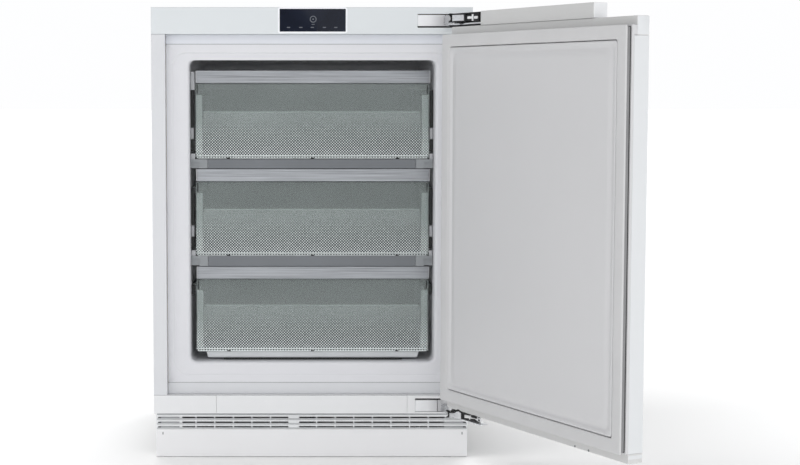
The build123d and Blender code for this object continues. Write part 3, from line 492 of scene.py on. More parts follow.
def piece(name, bm, material, body, replaces=(), sharp=38.0):
    bmesh.ops.remove_doubles(bm, verts=bm.verts, dist=0.000004)
    bmesh.ops.recalc_face_normals(bm, faces=bm.faces)
    for f in bm.faces:
        f.smooth = True
    for e in bm.edges:
        if len(e.link_faces) == 2 and e.calc_face_angle(0.0) > math.radians(sharp):
            e.smooth = False
    me = bpy.data.meshes.new(name)
    bm.to_mesh(me)
    bm.free()
    me.materials.append(material)
    o = bpy.data.objects.new(name, me)
    bpy.context.scene.collection.objects.link(o)
    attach(o, body)
    if replaces:
        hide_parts(*replaces)
    return o


def arc(c0, c1, n=5):
    """Quarter round from 0 to 1 in n steps: (sine, one minus cosine)."""
    return [
        (c0 * math.sin(math.pi / 2 * k / n), c1 * (1 - math.cos(math.pi / 2 * k / n)))
        for k in range(1, n + 1)
    ]


# ------------------------------------------------------------------ the liner
def liner():
    bm = bmesh.new()
    w, lo, hi = 272.1, 144.95, 781.75
    rings = [
        (-230, 230, 370.6, 754.3, 12, 441.6),
        (-230, 230, 370.6, 754.3, 12, 282.0),
        (-230, 230, 182.6, 754.3, 12, 281.6),
        (-231.4, 232.8, 181.6, 755.3, 12, 19.0),
        (-w, w, lo, hi, 2, 19.0),
        (-w, w, lo, hi, 2, 15.25),
        (-w + 0.25, w - 0.25, lo + 0.25, hi - 0.25, 2, 15.0),
    ]
    # shallow step round the sealing face, then a gentle rise to the mouth
    for i, y in (
        (-3.4, 15.0), (-2.4, 15.12), (-1.4, 15.7), (-0.5, 16.5), (0.6, 16.95), (2.2, 17.0),
        (6.0, 16.75), (11.0, 16.35), (16.0, 16.02), (20.5, 15.9),
    ):  # fmt: skip
        rings.append((-258.9 + i, 258.9 - i, 160.0 + i * 0.86, 765.2 - i * 0.62, 25 - i * 0.35, y))
    # rounded mouth
    m = 6.0
    for k in range(0, 8):
        t = math.pi / 2 * k / 7
        i = m * math.sin(t)
        rings.append(
            (-234.8 + i, 237.0 - i, 178 + i, 758.8 - i, 18 - i, 15.88 + m - m * math.cos(t))
        )
    rings.append((-228.6, 229.4, 184, 752.8, 12, 28.5))
    rings.append((-228.6, 228.6, 184, 752.8, 12, 272))
    for s, c in arc(8, 8, 4):
        rings.append((-228.6, 228.6, 184 + c, 752.8, 12, 272 + s))
    rings.append((-228.6, 228.6, 364, 752.8, 12, 280.2))
    for s, c in arc(8, 8, 4):
        rings.append((-228.6, 228.6, 364 + s, 752.8, 12, 280.2 + c))
    rings.append((-228.6, 228.6, 372, 752.8, 12, 431.6))
    for s, c in arc(8, 8, 4):
        rings.append((-228.6 + c, 228.6 - c, 372 + c, 752.8 - c, 12 - c, 431.6 + s))
    loft(bm, cab, rings, 8, cap0=True, cap1=True)
    piece("liner_tub", bm, MATERIAL["liner_white"], "cabinet", ("inner_liner",))


liner()


def joints_dark():
    """Grey strips in the narrow joints between the liner, the cross rails and the trims: painted shade in the gaps."""
    bm = bmesh.new()
    pad(bm, cab, -272.0, 272.0, 781.5, 782.5, 14.93, 15.4, 0.2, 0.03)
    pad(bm, cab, -272.0, 272.0, 144.2, 145.1, 14.93, 15.4, 0.2, 0.03)
    pad(bm, cab, -298.0, 298.0, 122.35, 122.95, -0.06, 0.6, 0.1, 0.03)
    piece("frame_joints", bm, GAP_SHADE, "cabinet")


joints_dark()

# ------------------------------------------------------------------- the door
SB0, SB1, SZ0, SZ1 = 0.0, 541.0, 125.4, 797.0


def in_door(i, r, a):
    return (SB0 + i, SB1 - i, SZ0 + i, SZ1 - i, r, a)


def door_liner():
    bm = bmesh.new()
    rings = [
        in_door(25.2, 5.0, 4.8),
        in_door(25.2, 5.0, 15.6),
        in_door(1.0, 1.5, 15.9),
        in_door(-0.85, 1.5, 15.9),
        in_door(-0.85, 1.5, 11.9),
        in_door(-0.4, 1.5, 11.35),
        in_door(2.4, 1.8, 11.2),
        in_door(3.0, 1.8, 13.4),
        in_door(23.5, 6.0, 13.4),
        in_door(23.5, 6.0, 2.8),
    ]
    for i, r, a in (
        (23.60, 6.0, 1.90),
        (23.95, 6.2, 1.10),
        (24.60, 6.6, 0.68),
        (25.60, 7.4, 0.56),
        (27.20, 8.8, 0.66),
        (28.80, 10.2, 1.08),
        (30.40, 11.7, 1.80),
        (31.80, 13.0, 2.50),
        (33.20, 14.2, 2.92),
        (34.80, 15.4, 2.98),
        (36.80, 16.6, 2.62),
        (39.60, 18.0, 1.86),
        (42.60, 19.4, 1.22),
        (46.00, 20.8, 0.88),
        (50.00, 22.0, 0.80),
    ):
        rings.append(in_door(i, r, a))
    loft(bm, door, rings, 10, cap0=True, cap1=True)
    # fold behind the flange, up to the top cap
    pad(bm, door, -0.9, 541.9, 781.4, 797.0, 15.92, 21.4, 0.6, 0.3)
    piece(
        "door_liner_pan", bm, MATERIAL["door_white"], "door", ("door_inner_liner",)
    )


def door_seal():
    bm = bmesh.new()
    section = (
        (0.9, 0.15), (2.0, 0.0), (20.0, 0.0), (21.3, 0.3), (22.0, 1.1), (22.15, 2.4),
        (22.15, 13.2), (12.5, 13.2), (12.0, 10.6), (8.0, 9.9), (3.6, 9.6), (2.9, 9.1),
        (2.7, 8.0), (2.8, 4.4), (2.7, 3.9), (2.2, 3.5), (0.6, 3.3), (0.0, 2.9),
        (-0.1, 1.1), (0.25, 0.4),
    )  # fmt: skip
    rings = []
    for i, a in section:
        b0, b1, z0, z1, r, d = in_door(i, 2.4 + 0.14 * i, a)
        # a long thin edge lies on the pan at the hinge side
        b0 += {20.0: 0.6, 21.3: 1.6, 22.0: 2.7, 22.15: 3.3}.get(i, 0.0)
        rings.append((b0, b1, z0, z1, r, d))
    loft(bm, door, rings, 8, loop=True)
    piece("door_seal", bm, MATERIAL["gasket_white"], "door", ("door_gasket",), 50)
    # folded bellows in a grey copy of the white gasket, painted shade, and the gap behind them in black, painted shadow
    bm = bmesh.new()
    rings = [
        in_door(i, 2.6, a) for i, a in ((2.5, 3.7), (2.35, 5.0), (2.6, 6.5), (2.35, 8.2), (2.6, 10.2), (7.0, 10.2), (7.0, 3.7))
    ]
    loft(bm, door, rings, 6, loop=True)
    piece("door_seal_fold", bm, FOLD_SHADE, "door")
    bm = bmesh.new()
    loft(bm, door, [in_door(i, 2.6, a) for i, a in ((1.9, 10.2), (1.9, 11.25), (11.0, 11.25), (11.0, 10.2))], 6, loop=True)
    piece("door_seal_gap", bm, BLACK_AND_SHADOW, "door")


door_liner()
door_seal()


def cap_screws():
    bm = bmesh.new()
    for b in (401.2, 438.4):
        turned(
            bm, door, b, 111.7,
            ((1.9, 16.05), (1.9, 15.75), (1.7, 15.45), (1.1, 15.25), (0.5, 15.2), (0.45, 15.5), (0.02, 15.5)),
            18,
        )  # fmt: skip
    piece("door_cap_screws", bm, SCREW_GREY, "door")


cap_screws()


def free_end(a, z, d):
    return door(542.1 - d, z, a)


def cap_ends():
    """End faces of both caps, flush with the folded skin."""
    bm = bmesh.new()
    pad(bm, free_end, 21.4, 43.8, 782.3, 811.2, 0.0, 1.6, 1.0, 0.3, 4)
    pad(bm, free_end, 16.6, 43.6, 116.4, 122.3, 0.0, 1.6, 0.9, 0.4, 4)
    piece("door_cap_ends", bm, MATERIAL["white_steel"], "door")
    # the bracket cover's end face in the lighter copy: painted light
    bm = bmesh.new()
    pad(bm, lambda a, z, d: door(434.0 - d, z, a), 19.1, 44.4, 811.9, 836.4, 0.0, 2.6, 1.2, 0.5, 4)
    piece("bracket_cover_end", bm, COVER_END_LIT, "door")


cap_ends()

# -------------------------------------------------------------------- drawers
# foot of the tub, foot of its front, top, back
DRAWERS = {
    "upper": (567.6, 567.8, 709.5, 425.0),
    "middle": (384.2, 383.6, 525.0, 425.0),
    "lower": (188.0, 200.9, 340.0, 268.0),
}
PX0, PX1 = -219.2, 221.4


def tub_path(hx, y0, y1, r, n=7):
    r = max(r, 0.3)
    pts = [(-hx, y0), (-hx, y1 - r)]
    pts += [
        (-hx + r - r * math.cos(t), y1 - r + r * math.sin(t))
        for t in (math.pi / 2 * k / n for k in range(1, n + 1))
    ]
    return pts + [(-x, y) for x, y in reversed(pts)]


def drawer(key, z0, zf, z1, yb):
    body = key + "_drawer"
    node = key + "_drawer_tub"
    # front, rounded all round
    bm = bmesh.new()
    pad(bm, cab, PX0, PX1, zf, z1 - 0.4, 35.05, 37.9, 4.5, 0.9, 8, 4)
    piece(body + "_pane", bm, dotted_pane("pane_dots_" + key, zf), body, (node,))
    # beads along its foot, with three notches
    bm = bmesh.new()
    pad(bm, cab, PX0 + 2.6, PX1 - 2.6, zf + 4.4, zf + 6.4, 34.7, 35.3, 1.0, 0.28, 4)
    xs = (PX0 + 3.5, -160.6, -154.8, -1.4, 4.4, 158.8, 164.6, PX1 - 3.5)
    for x0, x1 in zip(xs[::2], xs[1::2]):
        pad(bm, cab, x0, x1, zf + 0.25, zf + 1.9, 34.75, 35.5, 0.8, 0.3, 4)
    piece(body + "_foot_bead", bm, BEAD, body)
    bm = bmesh.new()
    for x in (-157.7, 1.5, 161.7):
        pad(bm, cab, x - 3.6, x + 3.6, zf + 0.1, zf + 2.2, 34.8, 35.4, 0.7, 0.25, 4)
    for x in (-215.6, 217.6):
        pad(bm, cab, x - 0.9, x + 0.9, z1 - 19.5, z1 - 3.0, 34.6, 35.3, 0.8, 0.25, 4)
    for x in (-203.4, 203.6):
        pad(bm, cab, x - 0.7, x + 0.7, zf + 84.0, zf + 92.0, 38.3, 39.4, 0.6, 0.2, 4)
    piece(body + "_clips", bm, SLIDE_AND_SHADOW_BLACK, body)
    # low inner front wall with its rim, and the frosted side edges
    bm = bmesh.new()
    z0 = max(z0, zf)
    pad(bm, cab, -205.0, 205.0, z0 + 5.6, zf + 88.0, 38.3, 39.6, 6.0, 0.5, 6)
    piece(body + "_front_wall", bm, FRONT_WALL, body)
    bm = bmesh.new()
    pad(bm, cab, -204.5, 204.5, zf + 86.6, zf + 89.4, 37.9, 40.6, 1.2, 1.0, 4)
    pad(bm, cab, -218.2, -206.4, z0 + 4.0, z1 - 22.0, 38.0, 39.4, 1.4, 0.5, 4)
    pad(bm, cab, 207.4, 219.4, z0 + 4.0, z1 - 22.0, 38.0, 39.4, 1.4, 0.5, 4)
    piece(body + "_front_frame", bm, FROSTED, body)
    # tub walls, open towards the front
    bm = bmesh.new()
    rows = []
    for hx, z in (
        (225.2, z1 - 10.2), (225.2, z1 - 11.9), (212.4, z1 - 12.0), (211.6, z1 - 13.5),
        (208.6, z0 + 10.0), (207.4, z0 + 6.2), (204.6, z0 + 3.8), (201.5, z0 + 3.2),
        (201.5, z0 + 5.3), (203.6, z0 + 5.8), (205.4, z0 + 7.4), (206.4, z0 + 10.4),
        (209.6, z1 - 13.0), (210.4, z1 - 10.2),
    ):  # fmt: skip
        back = yb - 0.4 - max(0.0, 211.6 - hx)
        path = tub_path(hx, 39.8, back, 12 + min(0.0, hx - 211.6))
        rows.append([bm.verts.new(mm(x, y, z)) for x, y in path])
    bridge(bm, rows, loop=True, round_=False)
    for col in (0, -1):
        face = [row[col] for row in rows]
        bm.faces.new(face if col else face[::-1])
    # floor
    low = [bm.verts.new(mm(x, y, z0 + 3.3)) for x, y in tub_path(202.0, 39.8, yb - 10.0, 4)]
    top = [bm.verts.new(mm(x, y, z0 + 5.2)) for x, y in tub_path(202.0, 39.8, yb - 10.0, 4)]
    bridge(bm, [low, top], cap0=True, cap1=True)
    piece(body + "_basket", bm, MATERIAL["drawer_clear"], body, (node,))
    # rail: rounded bar with a plastic cap at each end
    bm = bmesh.new()
    pad(bm, cab, -216.0, 220.6, z1 + 0.15, z1 + 23.9, 31.0, 45.8, 1.2, 1.1, 4, 4)
    piece(body + "_handle", bm, MATERIAL["rail_aluminium"], body, (key + "_drawer_rail",))
    bm = bmesh.new()
    pad(bm, cab, -218.4, -215.9, z1 + 0.3, z1 + 23.7, 31.3, 45.6, 1.0, 0.8, 4, 4)
    pad(bm, cab, 220.5, 222.4, z1 + 0.3, z1 + 23.7, 31.3, 45.6, 0.8, 0.8, 4, 4)
    piece(body + "_handle_caps", bm, END_CAP, body)


for key, (z0, zf, z1, yb) in DRAWERS.items():
    drawer(key, z0, zf, z1, yb)


def lower_foot():
    """The lowest tub stands on a tapered foot that shows under its front."""
    bm = bmesh.new()
    n = 4
    rings = [
        (-201.0 + i, 204.0 - i, y0, 58.0, 2.0, z)
        for i, y0, z in ((0.0, 38.6, 200.6), (0.0, 38.2, 199.6), (1.4, 38.2, 194.0), (2.6, 38.6, 190.0), (4.0, 40.2, 188.4), (5.0, 42.0, 188.2))
    ]
    loft(bm, plan, rings, n, cap0=True, cap1=True)
    piece("lower_drawer_foot", bm, TRAY, "lower_drawer")
    # black strip under the foot: painted shadow beneath it
    bm = bmesh.new()
    pad(bm, cab, -168.0, 172.0, 184.3, 188.0, 40.0, 60.0, 1.2, 0.8, 4)
    piece("lower_drawer_foot_shadow", bm, SLIDE_AND_SHADOW_BLACK, "lower_drawer")


lower_foot()


def liner_side_shadows():
    """Black strips on the liner's side walls, in front of the ledges: painted shadow in the gaps beside the drawers."""
    bm = bmesh.new()
    for s in (-1, 1):
        for z1, spans in ((709.5, ((-83.0, -13.5), (-127.5, -105.5))), (525.0, ((-83.0, -13.5), (-127.0, -106.0))), (340.0, ((-31.0, -13.5),))):
            for lo, hi in spans:
                x0, x1 = sorted((s * 222.6, s * 228.3))
                pad(bm, cab, x0, x1, z1 + lo, z1 + hi, 38.5, 45.8, 1.4, 0.8, 4)
    piece("drawer_side_shadow_strips", bm, SLIDE_AND_SHADOW_BLACK, "cabinet")
    bm = bmesh.new()
    for z in (566.0, 383.0):
        for x0, x1 in ((-228.2, -219.8), (221.8, 228.2)):
            pad(bm, cab, x0, x1, z, z + 11.5, 30.4, 45.0, 1.2, 0.8, 4)
    pad(bm, cab, -228.2, -220.4, 697.0, 731.0, 36.0, 45.0, 1.4, 0.8, 4)
    for z0, z1 in ((604.8, 625.6), (419.8, 441.0)):
        for x0, x1 in ((-228.2, -222.8), (222.8, 228.2)):
            pad(bm, cab, x0, x1, z0, z1, 38.5, 45.0, 1.2, 0.8, 4)
    piece("liner_side_blocks", bm, END_CAP, "cabinet")


liner_side_shadows()

# -------------------------------------------------------------------- display
def display_parts():
    bm = bmesh.new()
    rings = []
    # a low frame round the window
    for i, y in (
        (-0.2, 0.9), (-0.2, 0.1), (0.1, -0.25), (0.7, -0.42), (1.9, -0.46), (2.7, -0.34), (3.1, -0.05), (3.1, 0.5),
    ):  # fmt: skip
        rings.append((-59.7 - i, 62.9 + i, 804.8 - i, 846.8 + i, 1.0 + i, y))
    loft(bm, cab, rings, 6, loop=True)
    piece("display_frame", bm, FRAME_WHITE, "cabinet")
    bm = bmesh.new()
    pad(bm, cab, -60.1, 63.2, 804.5, 847.0, -0.10, 2.8, 1.2, 0.12)
    piece("display_glass", bm, MATERIAL["display_black"], "cabinet", ("display_window",), 6)
    bm = bmesh.new()
    for x in (-43.1, -20.4, 0.9, 23.3, 44.3):
        pad(bm, cab, x - 3.2, x + 3.2, 811.7, 813.5, -0.22, -0.05, 0.9, 0.05, 4)
    pad(bm, cab, -0.3, 5.3, 817.6, 818.9, -0.22, -0.05, 0.6, 0.05, 4)
    turned(bm, cab, 2.5, 827.7, ((1.5, -0.05), (1.5, -0.20), (1.4, -0.22)), 20)
    rows = []
    for rho, y in ((6.3, -0.05), (6.3, -0.22), (4.7, -0.22), (4.7, -0.05)):
        rows.append(
            [
                bm.verts.new(
                    mm(
                        2.5 + rho * math.cos(2 * math.pi * i / 36),
                        y,
                        827.7 + rho * math.sin(2 * math.pi * i / 36),
                    )
                )
                for i in range(36)
            ]
        )
    bridge(bm, rows, loop=True)
    piece("display_marks", bm, MARK, "cabinet")


display_parts()


# --------------------------------------------------------------------- hinges
def slab(bm, place, pts, d0, d1, c=0.35):
    """A flat piece with any outline and softened rims."""
    mu = sum(p[0] for p in pts) / len(pts)
    mv = sum(p[1] for p in pts) / len(pts)

    def row(d, k):
        out = []
        for u, v in pts:
            w = math.hypot(u - mu, v - mv)
            f = max(0.0, 1 - k / w)
            out.append(bm.verts.new(mm(*place(mu + (u - mu) * f, mv + (v - mv) * f, d))))
        return out

    rows = [row(d0, c), row(d0 + 0.3 * c, 0.3 * c), row(d0 + c, 0), row(d1 - c, 0), row(d1, c)]
    return bridge(bm, rows, cap0=True, cap1=True)


def strap(bm, place, pts, width, d0, d1):
    """A bent strip: its centre line, its width in the picture of it, its depth."""
    rows = []
    for k, (u, v) in enumerate(pts):
        a, b = pts[max(0, k - 1)], pts[min(len(pts) - 1, k + 1)]
        tu, tv = b[0] - a[0], b[1] - a[1]
        ln = math.hypot(tu, tv)
        nu, nv = -tv / ln * width / 2, tu / ln * width / 2
        e = 0.25
        rows.append(
            [
                bm.verts.new(mm(*place(u + nu * f, v + nv * f, d)))
                for f, d in (
                    (-1, d0 + e), (-0.75, d0), (0.75, d0), (1, d0 + e), (1, d1), (-1, d1),
                )
            ]
        )  # fmt: skip
    return bridge(bm, rows, cap0=True, cap1=True)


def curve(pts, n=4):
    """Catmull-Rom points through pts."""
    out = []
    q = [pts[0]] + list(pts) + [pts[-1]]
    for i in range(1, len(q) - 2):
        for k in range(n):
            t = k / n
            out.append(
                tuple(
                    0.5
                    * (
                        2 * q[i][j]
                        + (q[i + 1][j] - q[i - 1][j]) * t
                        + (2 * q[i - 1][j] - 5 * q[i][j] + 4 * q[i + 1][j] - q[i + 2][j]) * t * t
                        + (3 * q[i][j] - q[i - 1][j] - 3 * q[i + 1][j] + q[i + 2][j]) * t**3
                    )
                    for j in (0, 1)
                )
            )
    return out + [pts[-1]]


def rivet(bm, place, u, v, d, r):
    turned(bm, place, u, v, ((r, d + 1.2), (r, d + 0.5), (r * 0.86, d + 0.15), (r * 0.5, d - 0.1), (r * 0.2, d - 0.15)), 20)


def upper_hinge():
    bright, dark, black, core = (bmesh.new() for _ in range(4))
    # channel on the door: two plates, the upper one dark as painted shade, black inside as painted shadow
    pad(bright, door, -17.0, 97.0, 814.7, 817.5, 22.8, 43.2, 1.0, 0.8)
    pad(dark, door, -13.0, 97.0, 834.0, 836.0, 24.4, 43.2, 0.9, 0.7)
    pad(black, door, -14.0, 87.6, 817.0, 834.8, 38.8, 42.8, 1.0, 0.5)
    pad(black, door, -16.0, 87.0, 811.8, 814.6, 25.2, 42.6, 1.2, 0.6)
    strap(black, door, curve([(-12.4, 836.0), (2.0, 835.2), (18.6, 834.7), (28.0, 835.0), (37.0, 834.8), (55.8, 834.3), (87.0, 833.5)]), 1.7, 22.4, 26.0)
    strap(black, door, [(17.0, 834.4), (20.0, 834.0), (36.0, 834.0), (39.0, 834.3)], 2.2, 22.6, 26.0)
    strap(black, door, curve([(-14.9, 815.0), (0.0, 814.0), (12.1, 813.6), (29.1, 814.6)]), 1.5, 22.6, 26.0)
    strap(black, door, curve([(38.7, 812.9), (60.0, 813.0), (86.6, 813.2)]), 1.2, 22.8, 26.0)
    strap(black, door, curve([(-11.4, 820.9), (2.0, 820.6), (12.8, 820.1), (21.4, 818.0), (29.9, 816.4), (38.0, 817.3), (43.4, 818.7)]), 1.9, 22.0, 26.0)
    # link plate between the pivots, with its two rivets
    slab(bright, door, [(-1.6, 833.4), (37.0, 832.4), (37.0, 821.6), (-1.5, 822.2)], 21.9, 24.2, 0.6)
    rivet(bright, door, 4.2, 827.8, 21.6, 2.0)
    rivet(bright, door, 31.6, 827.0, 21.6, 2.0)
    slab(black, door, [(-4.6, 834.6), (39.6, 833.6), (39.6, 820.0), (-4.6, 821.0)], 25.6, 29.0, 0.6)
    slab(core, door, [(-15.5, 833.8), (-8.6, 833.2), (-6.8, 828.0), (-8.6, 822.6), (-15.0, 820.9)], 27.4, 32.0, 0.6)
    strap(black, door, curve([(-17.4, 834.9), (-12.6, 834.2), (-8.6, 831.0), (-7.0, 827.0), (-9.0, 823.4), (-14.6, 821.2)]), 2.3, 22.4, 27.0)
    # open frame with a white core, the post and the end block
    for pts in (
        [(38.0, 833.8), (42.4, 833.6), (42.6, 821.0), (38.2, 821.4)],
        [(44.6, 832.0), (50.0, 831.8), (50.1, 820.8), (44.7, 821.2)],
        [(44.6, 832.2), (62.8, 831.7), (62.8, 829.0), (44.6, 829.3)],
        [(44.6, 823.5), (62.8, 823.2), (62.8, 820.6), (44.6, 821.0)],
        [(69.8, 833.0), (86.2, 832.7), (86.4, 818.0), (70.0, 818.4)],
    ):
        slab(black, door, pts, 22.8, 27.0, 0.5)
    pad(core, door, 50.8, 63.2, 824.0, 828.7, 21.4, 25.0, 1.2, 0.6, 4)
    pad(core, door, 64.4, 68.7, 820.4, 832.4, 22.0, 27.0, 1.0, 0.6, 4)
    pad(core, door, 73.2, 84.4, 823.5, 828.3, 21.0, 24.0, 1.6, 0.7, 4)
    rivet(bright, door, 78.9, 825.9, 20.8, 1.7)
    for part, m, tag in ((bright, ZINC_BRIGHT, "bright"), (dark, STEEL_SHADE, "dark"), (black, BLACK_AND_SHADOW, "inside"), (core, CORE_WHITE, "cores")):
        piece("upper_hinge_arm_" + tag, part, m, "door", ("upper_hinge_arm",))


def lower_hinge():
    bright, dark, black, core = (bmesh.new() for _ in range(4))
    # channel plates, black inside as painted shadow
    pad(bright, door, -15.0, 96.0, 90.2, 92.4, 27.0, 43.2, 0.9, 0.7)
    pad(bright, door, 20.0, 104.0, 106.9, 109.0, 25.6, 31.0, 0.9, 0.7)
    pad(bright, door, -10.0, 78.0, 106.9, 109.0, 30.6, 43.2, 0.9, 0.7)
    pad(black, door, -14.0, 74.0, 92.2, 107.2, 38.8, 42.8, 1.0, 0.5)
    # arch over the link plate, running on along the channel
    strap(black, door, curve([(6.0, 100.6), (18.8, 102.5), (25.0, 104.2), (30.0, 107.0), (35.0, 109.6), (39.6, 110.6), (44.5, 109.6), (50.0, 108.5), (60.4, 107.6), (77.5, 108.0)]), 2.3, 15.1, 16.6)
    strap(black, door, [(75.0, 108.2), (103.0, 109.4)], 1.1, 15.2, 16.6)
    slab(bright, door, [(27.0, 103.4), (32.5, 106.4), (38.4, 108.0), (44.4, 106.6), (48.0, 105.0), (41.0, 102.8)], 16.3, 17.6, 0.4)
    slab(bright, door, [(-2.1, 98.8), (37.4, 103.0), (37.6, 93.2), (-1.9, 88.4)], 21.9, 24.2, 0.6)
    rivet(bright, door, 3.4, 94.0, 21.6, 2.0)
    rivet(bright, door, 32.2, 97.8, 21.6, 2.0)
    slab(black, door, [(-5.0, 101.4), (39.4, 105.4), (39.6, 94.6), (16.0, 93.0), (-4.8, 92.0)], 25.8, 29.0, 0.6)
    strap(black, door, curve([(-14.8, 99.9), (-9.2, 98.7), (-6.6, 94.4), (-8.0, 90.2), (-13.0, 87.9)]), 2.3, 22.4, 27.0)
    slab(core, door, [(-15.5, 98.6), (-10.0, 97.6), (-8.4, 94.4), (-9.8, 91.2), (-15.0, 89.4)], 26.5, 30.0, 0.5)
    for pts in (
        [(38.2, 103.2), (43.6, 103.8), (43.8, 93.2), (38.4, 92.5)],
        [(45.9, 105.2), (50.8, 105.8), (50.9, 94.4), (46.0, 93.8)],
        [(45.9, 106.0), (66.4, 107.6), (66.4, 105.2), (45.9, 103.4)],
        [(46.0, 97.0), (66.4, 98.8), (66.4, 96.4), (46.0, 94.0)],
        [(69.4, 99.0), (80.2, 99.8), (95.6, 98.4), (94.4, 96.4), (80.2, 96.2), (62.0, 94.6)],
    ):
        slab(black, door, pts, 22.6, 27.0, 0.5)
    slab(black, door, [(81.6, 104.6), (84.6, 107.7), (88.0, 109.4), (91.7, 110.2), (96.0, 110.0), (98.7, 109.5), (101.2, 107.5), (101.4, 105.2)], 15.1, 17.4, 0.4)
    slab(core, door, [(51.4, 103.2), (66.2, 105.0), (66.3, 99.4), (51.5, 97.6)], 21.4, 25.0, 0.5)
    slab(core, door, [(70.2, 105.0), (85.2, 106.6), (85.2, 101.4), (70.2, 100.2)], 21.4, 25.0, 0.5)
    pad(core, door, 66.8, 69.5, 97.0, 106.4, 22.0, 27.0, 0.9, 0.5, 4)
    # end plate
    slab(bright, door, [(86.6, 106.6), (90.8, 110.4), (106.4, 110.4), (106.4, 98.6), (96.0, 98.6), (86.6, 100.6)], 22.4, 24.6, 0.6)
    pad(core, door, 105.6, 110.2, 98.6, 112.0, 21.6, 24.0, 0.9, 0.5, 4)
    # two dark patches on the end plate: painted shade
    slab(dark, door, [(97.4, 109.4), (101.6, 109.6), (101.2, 105.8), (98.0, 105.2)], 21.9, 23.0, 0.3)
    slab(dark, door, [(97.0, 102.8), (101.8, 103.4), (101.4, 99.6), (97.4, 99.2)], 21.9, 23.0, 0.3)
    for part, m, tag in ((bright, ZINC_BRIGHT, "bright"), (dark, STEEL_SHADE, "dark"), (black, BLACK_AND_SHADOW, "inside"), (core, CORE_WHITE, "cores")):
        piece("lower_hinge_arm_" + tag, part, m, "door", ("lower_hinge_arm",))


upper_hinge()
lower_hinge()


def slot_cover_shaded():
    """Satin filler with its tone painted along X: lightest at its left end, with a painted shade band beside the joint
    between the two fillers.
    """
    m = Mat("slot_cover_shaded", (0.70, 0.70, 0.71), 0.36, spec=0.45)
    xyz = m.node("ShaderNodeSeparateXYZ")
    m.link(m.co, xyz.inputs[0])
    m.link(
        m.ramp(
            m.range(xyz.outputs["X"], 0.0, 1.0, 0.196, 0.262),
            [(0.0, (0.80, 0.81, 0.825)), (0.35, (0.74, 0.745, 0.76)), (0.75, (0.50, 0.50, 0.515)), (0.80, (0.62, 0.62, 0.63)), (1.0, (0.70, 0.70, 0.71))],
        ),
        m.b.inputs["Base Color"],
    )
    m.shine(m.noise(60.0, 3.0), 0.03)
    m.bump(m.noise(900.0, 2.0), 0.02)
    return m.m


def housings():
    """Plastic fillings of the two slots, on a black block whose edges show above and below them as painted shadow in
    the slots.
    """
    white, dark = bmesh.new(), bmesh.new()
    pad(dark, cab, 197.2, 288.6, 812.9, 836.6, 5.6, 33.6, 1.0, 0.8)
    pad(white, cab, 196.0, 247.6, 815.0, 835.9, 1.2, 6.4, 1.0, 0.7, 4)
    pad(white, cab, 248.6, 288.4, 815.0, 835.9, 2.6, 6.4, 1.0, 0.7, 4)
    pad(dark, cab, 196.4, 290.4, 91.2, 115.8, 6.2, 33.6, 1.0, 0.8)
    pad(white, cab, 195.2, 236.9, 91.2, 113.0, 1.3, 7.0, 1.0, 0.7, 4)
    pad(white, cab, 237.8, 288.4, 91.2, 113.0, 2.8, 7.0, 1.0, 0.7, 4)
    piece("hinge_slot_shadow_block", dark, BLACK_AND_SHADOW, "cabinet", ("upper_hinge_housing", "lower_hinge_housing"))
    piece("hinge_slot_covers", white, slot_cover_shaded(), "cabinet")


housings()


def plinth_details():
    bm = bmesh.new()
    for x in (-283.3, 286.0):
        pad(bm, cab, x - 0.8, x + 0.8, 43.2, 48.4, 19.82, 20.3, 0.8, 0.12, 4)
    for x in (-274.0, 257.7):
        pad(bm, cab, x - 8.0, x + 8.0, 0.06, 0.86, 21.0, 34.0, 0.4, 0.2)
    piece("plinth_clips", bm, MATERIAL["foot_grey"], "cabinet")


plinth_details()


def grille_grooves():
    """The slots run on at both ends as blind grooves, drawn as grey strips with black ends: painted shade in the
    grooves.
    """
    bm, ends, shade = bmesh.new(), bmesh.new(), bmesh.new()
    for z in (76.0, 66.8, 58.2):
        for x0, x1 in ((-290.0, -251.8), (252.4, 291.0)):
            pad(bm, cab, x0, x1, z - 1.1, z + 1.1, 19.82, 20.4, 0.9, 0.1, 4)
        for x0, x1 in ((-292.6, -286.8), (287.4, 293.4)):
            pad(ends, cab, x0, x1, z - 1.7, z + 0.9, 19.78, 20.4, 0.9, 0.1, 4)
    # grey bands under each slot row: painted shade on the louvres
    for z0, z1 in ((71.1, 74.9), (62.4, 65.7), (54.4, 57.1)):
        pad(shade, cab, -294.6, 294.8, z0, z1, 19.74, 20.3, 0.5, 0.2, 4)
    # grey line under the lower fascia: painted shadow
    pad(bm, cab, -294.6, 294.8, 81.6, 83.6, 19.84, 20.4, 0.5, 0.1, 4)
    piece("grille_louvres", shade, LOUVRE_SHADE, "cabinet")
    piece("grille_grooves", bm, GAP_SHADE, "cabinet")
    piece("grille_groove_ends", ends, BLACK_AND_SHADOW, "cabinet")


grille_grooves()


def soften(o, width_mm=0.6, angle=32.0, segments=2):
    """Small broken edges on a CAD node."""
    w = o.modifiers.new("weld", "WELD")
    w.merge_threshold = 0.00002
    b = o.modifiers.new("edge", "BEVEL")
    b.width = width_mm / 1000.0
    b.segments = segments
    b.limit_method = "ANGLE"
    b.angle_limit = math.radians(angle)
    b.harden_normals = False
    b.use_clamp_overlap = True
    return o


for name, width in {
    "side_trim_left": 0.5, "side_trim_right": 0.5, "upper_cross_rail": 0.4, "lower_cross_rail": 0.4,
    "lower_fascia": 0.5, "lower_cover_left": 0.5, "lower_cover_right": 0.5, "plinth_panel": 0.6,
    "door_outer_panel": 0.35, "shelf_front_trims": 0.5, "drawer_runners_left": 0.8,
    "drawer_runners_right": 0.8,
    "upper_glass_shelf": 0.5, "lower_glass_shelf": 0.5, "base_tray": 0.4, "compressor_terminal_box": 1.0,
    "power_inlet": 0.4,
}.items():  # fmt: skip
    soften(NODE[name], width)


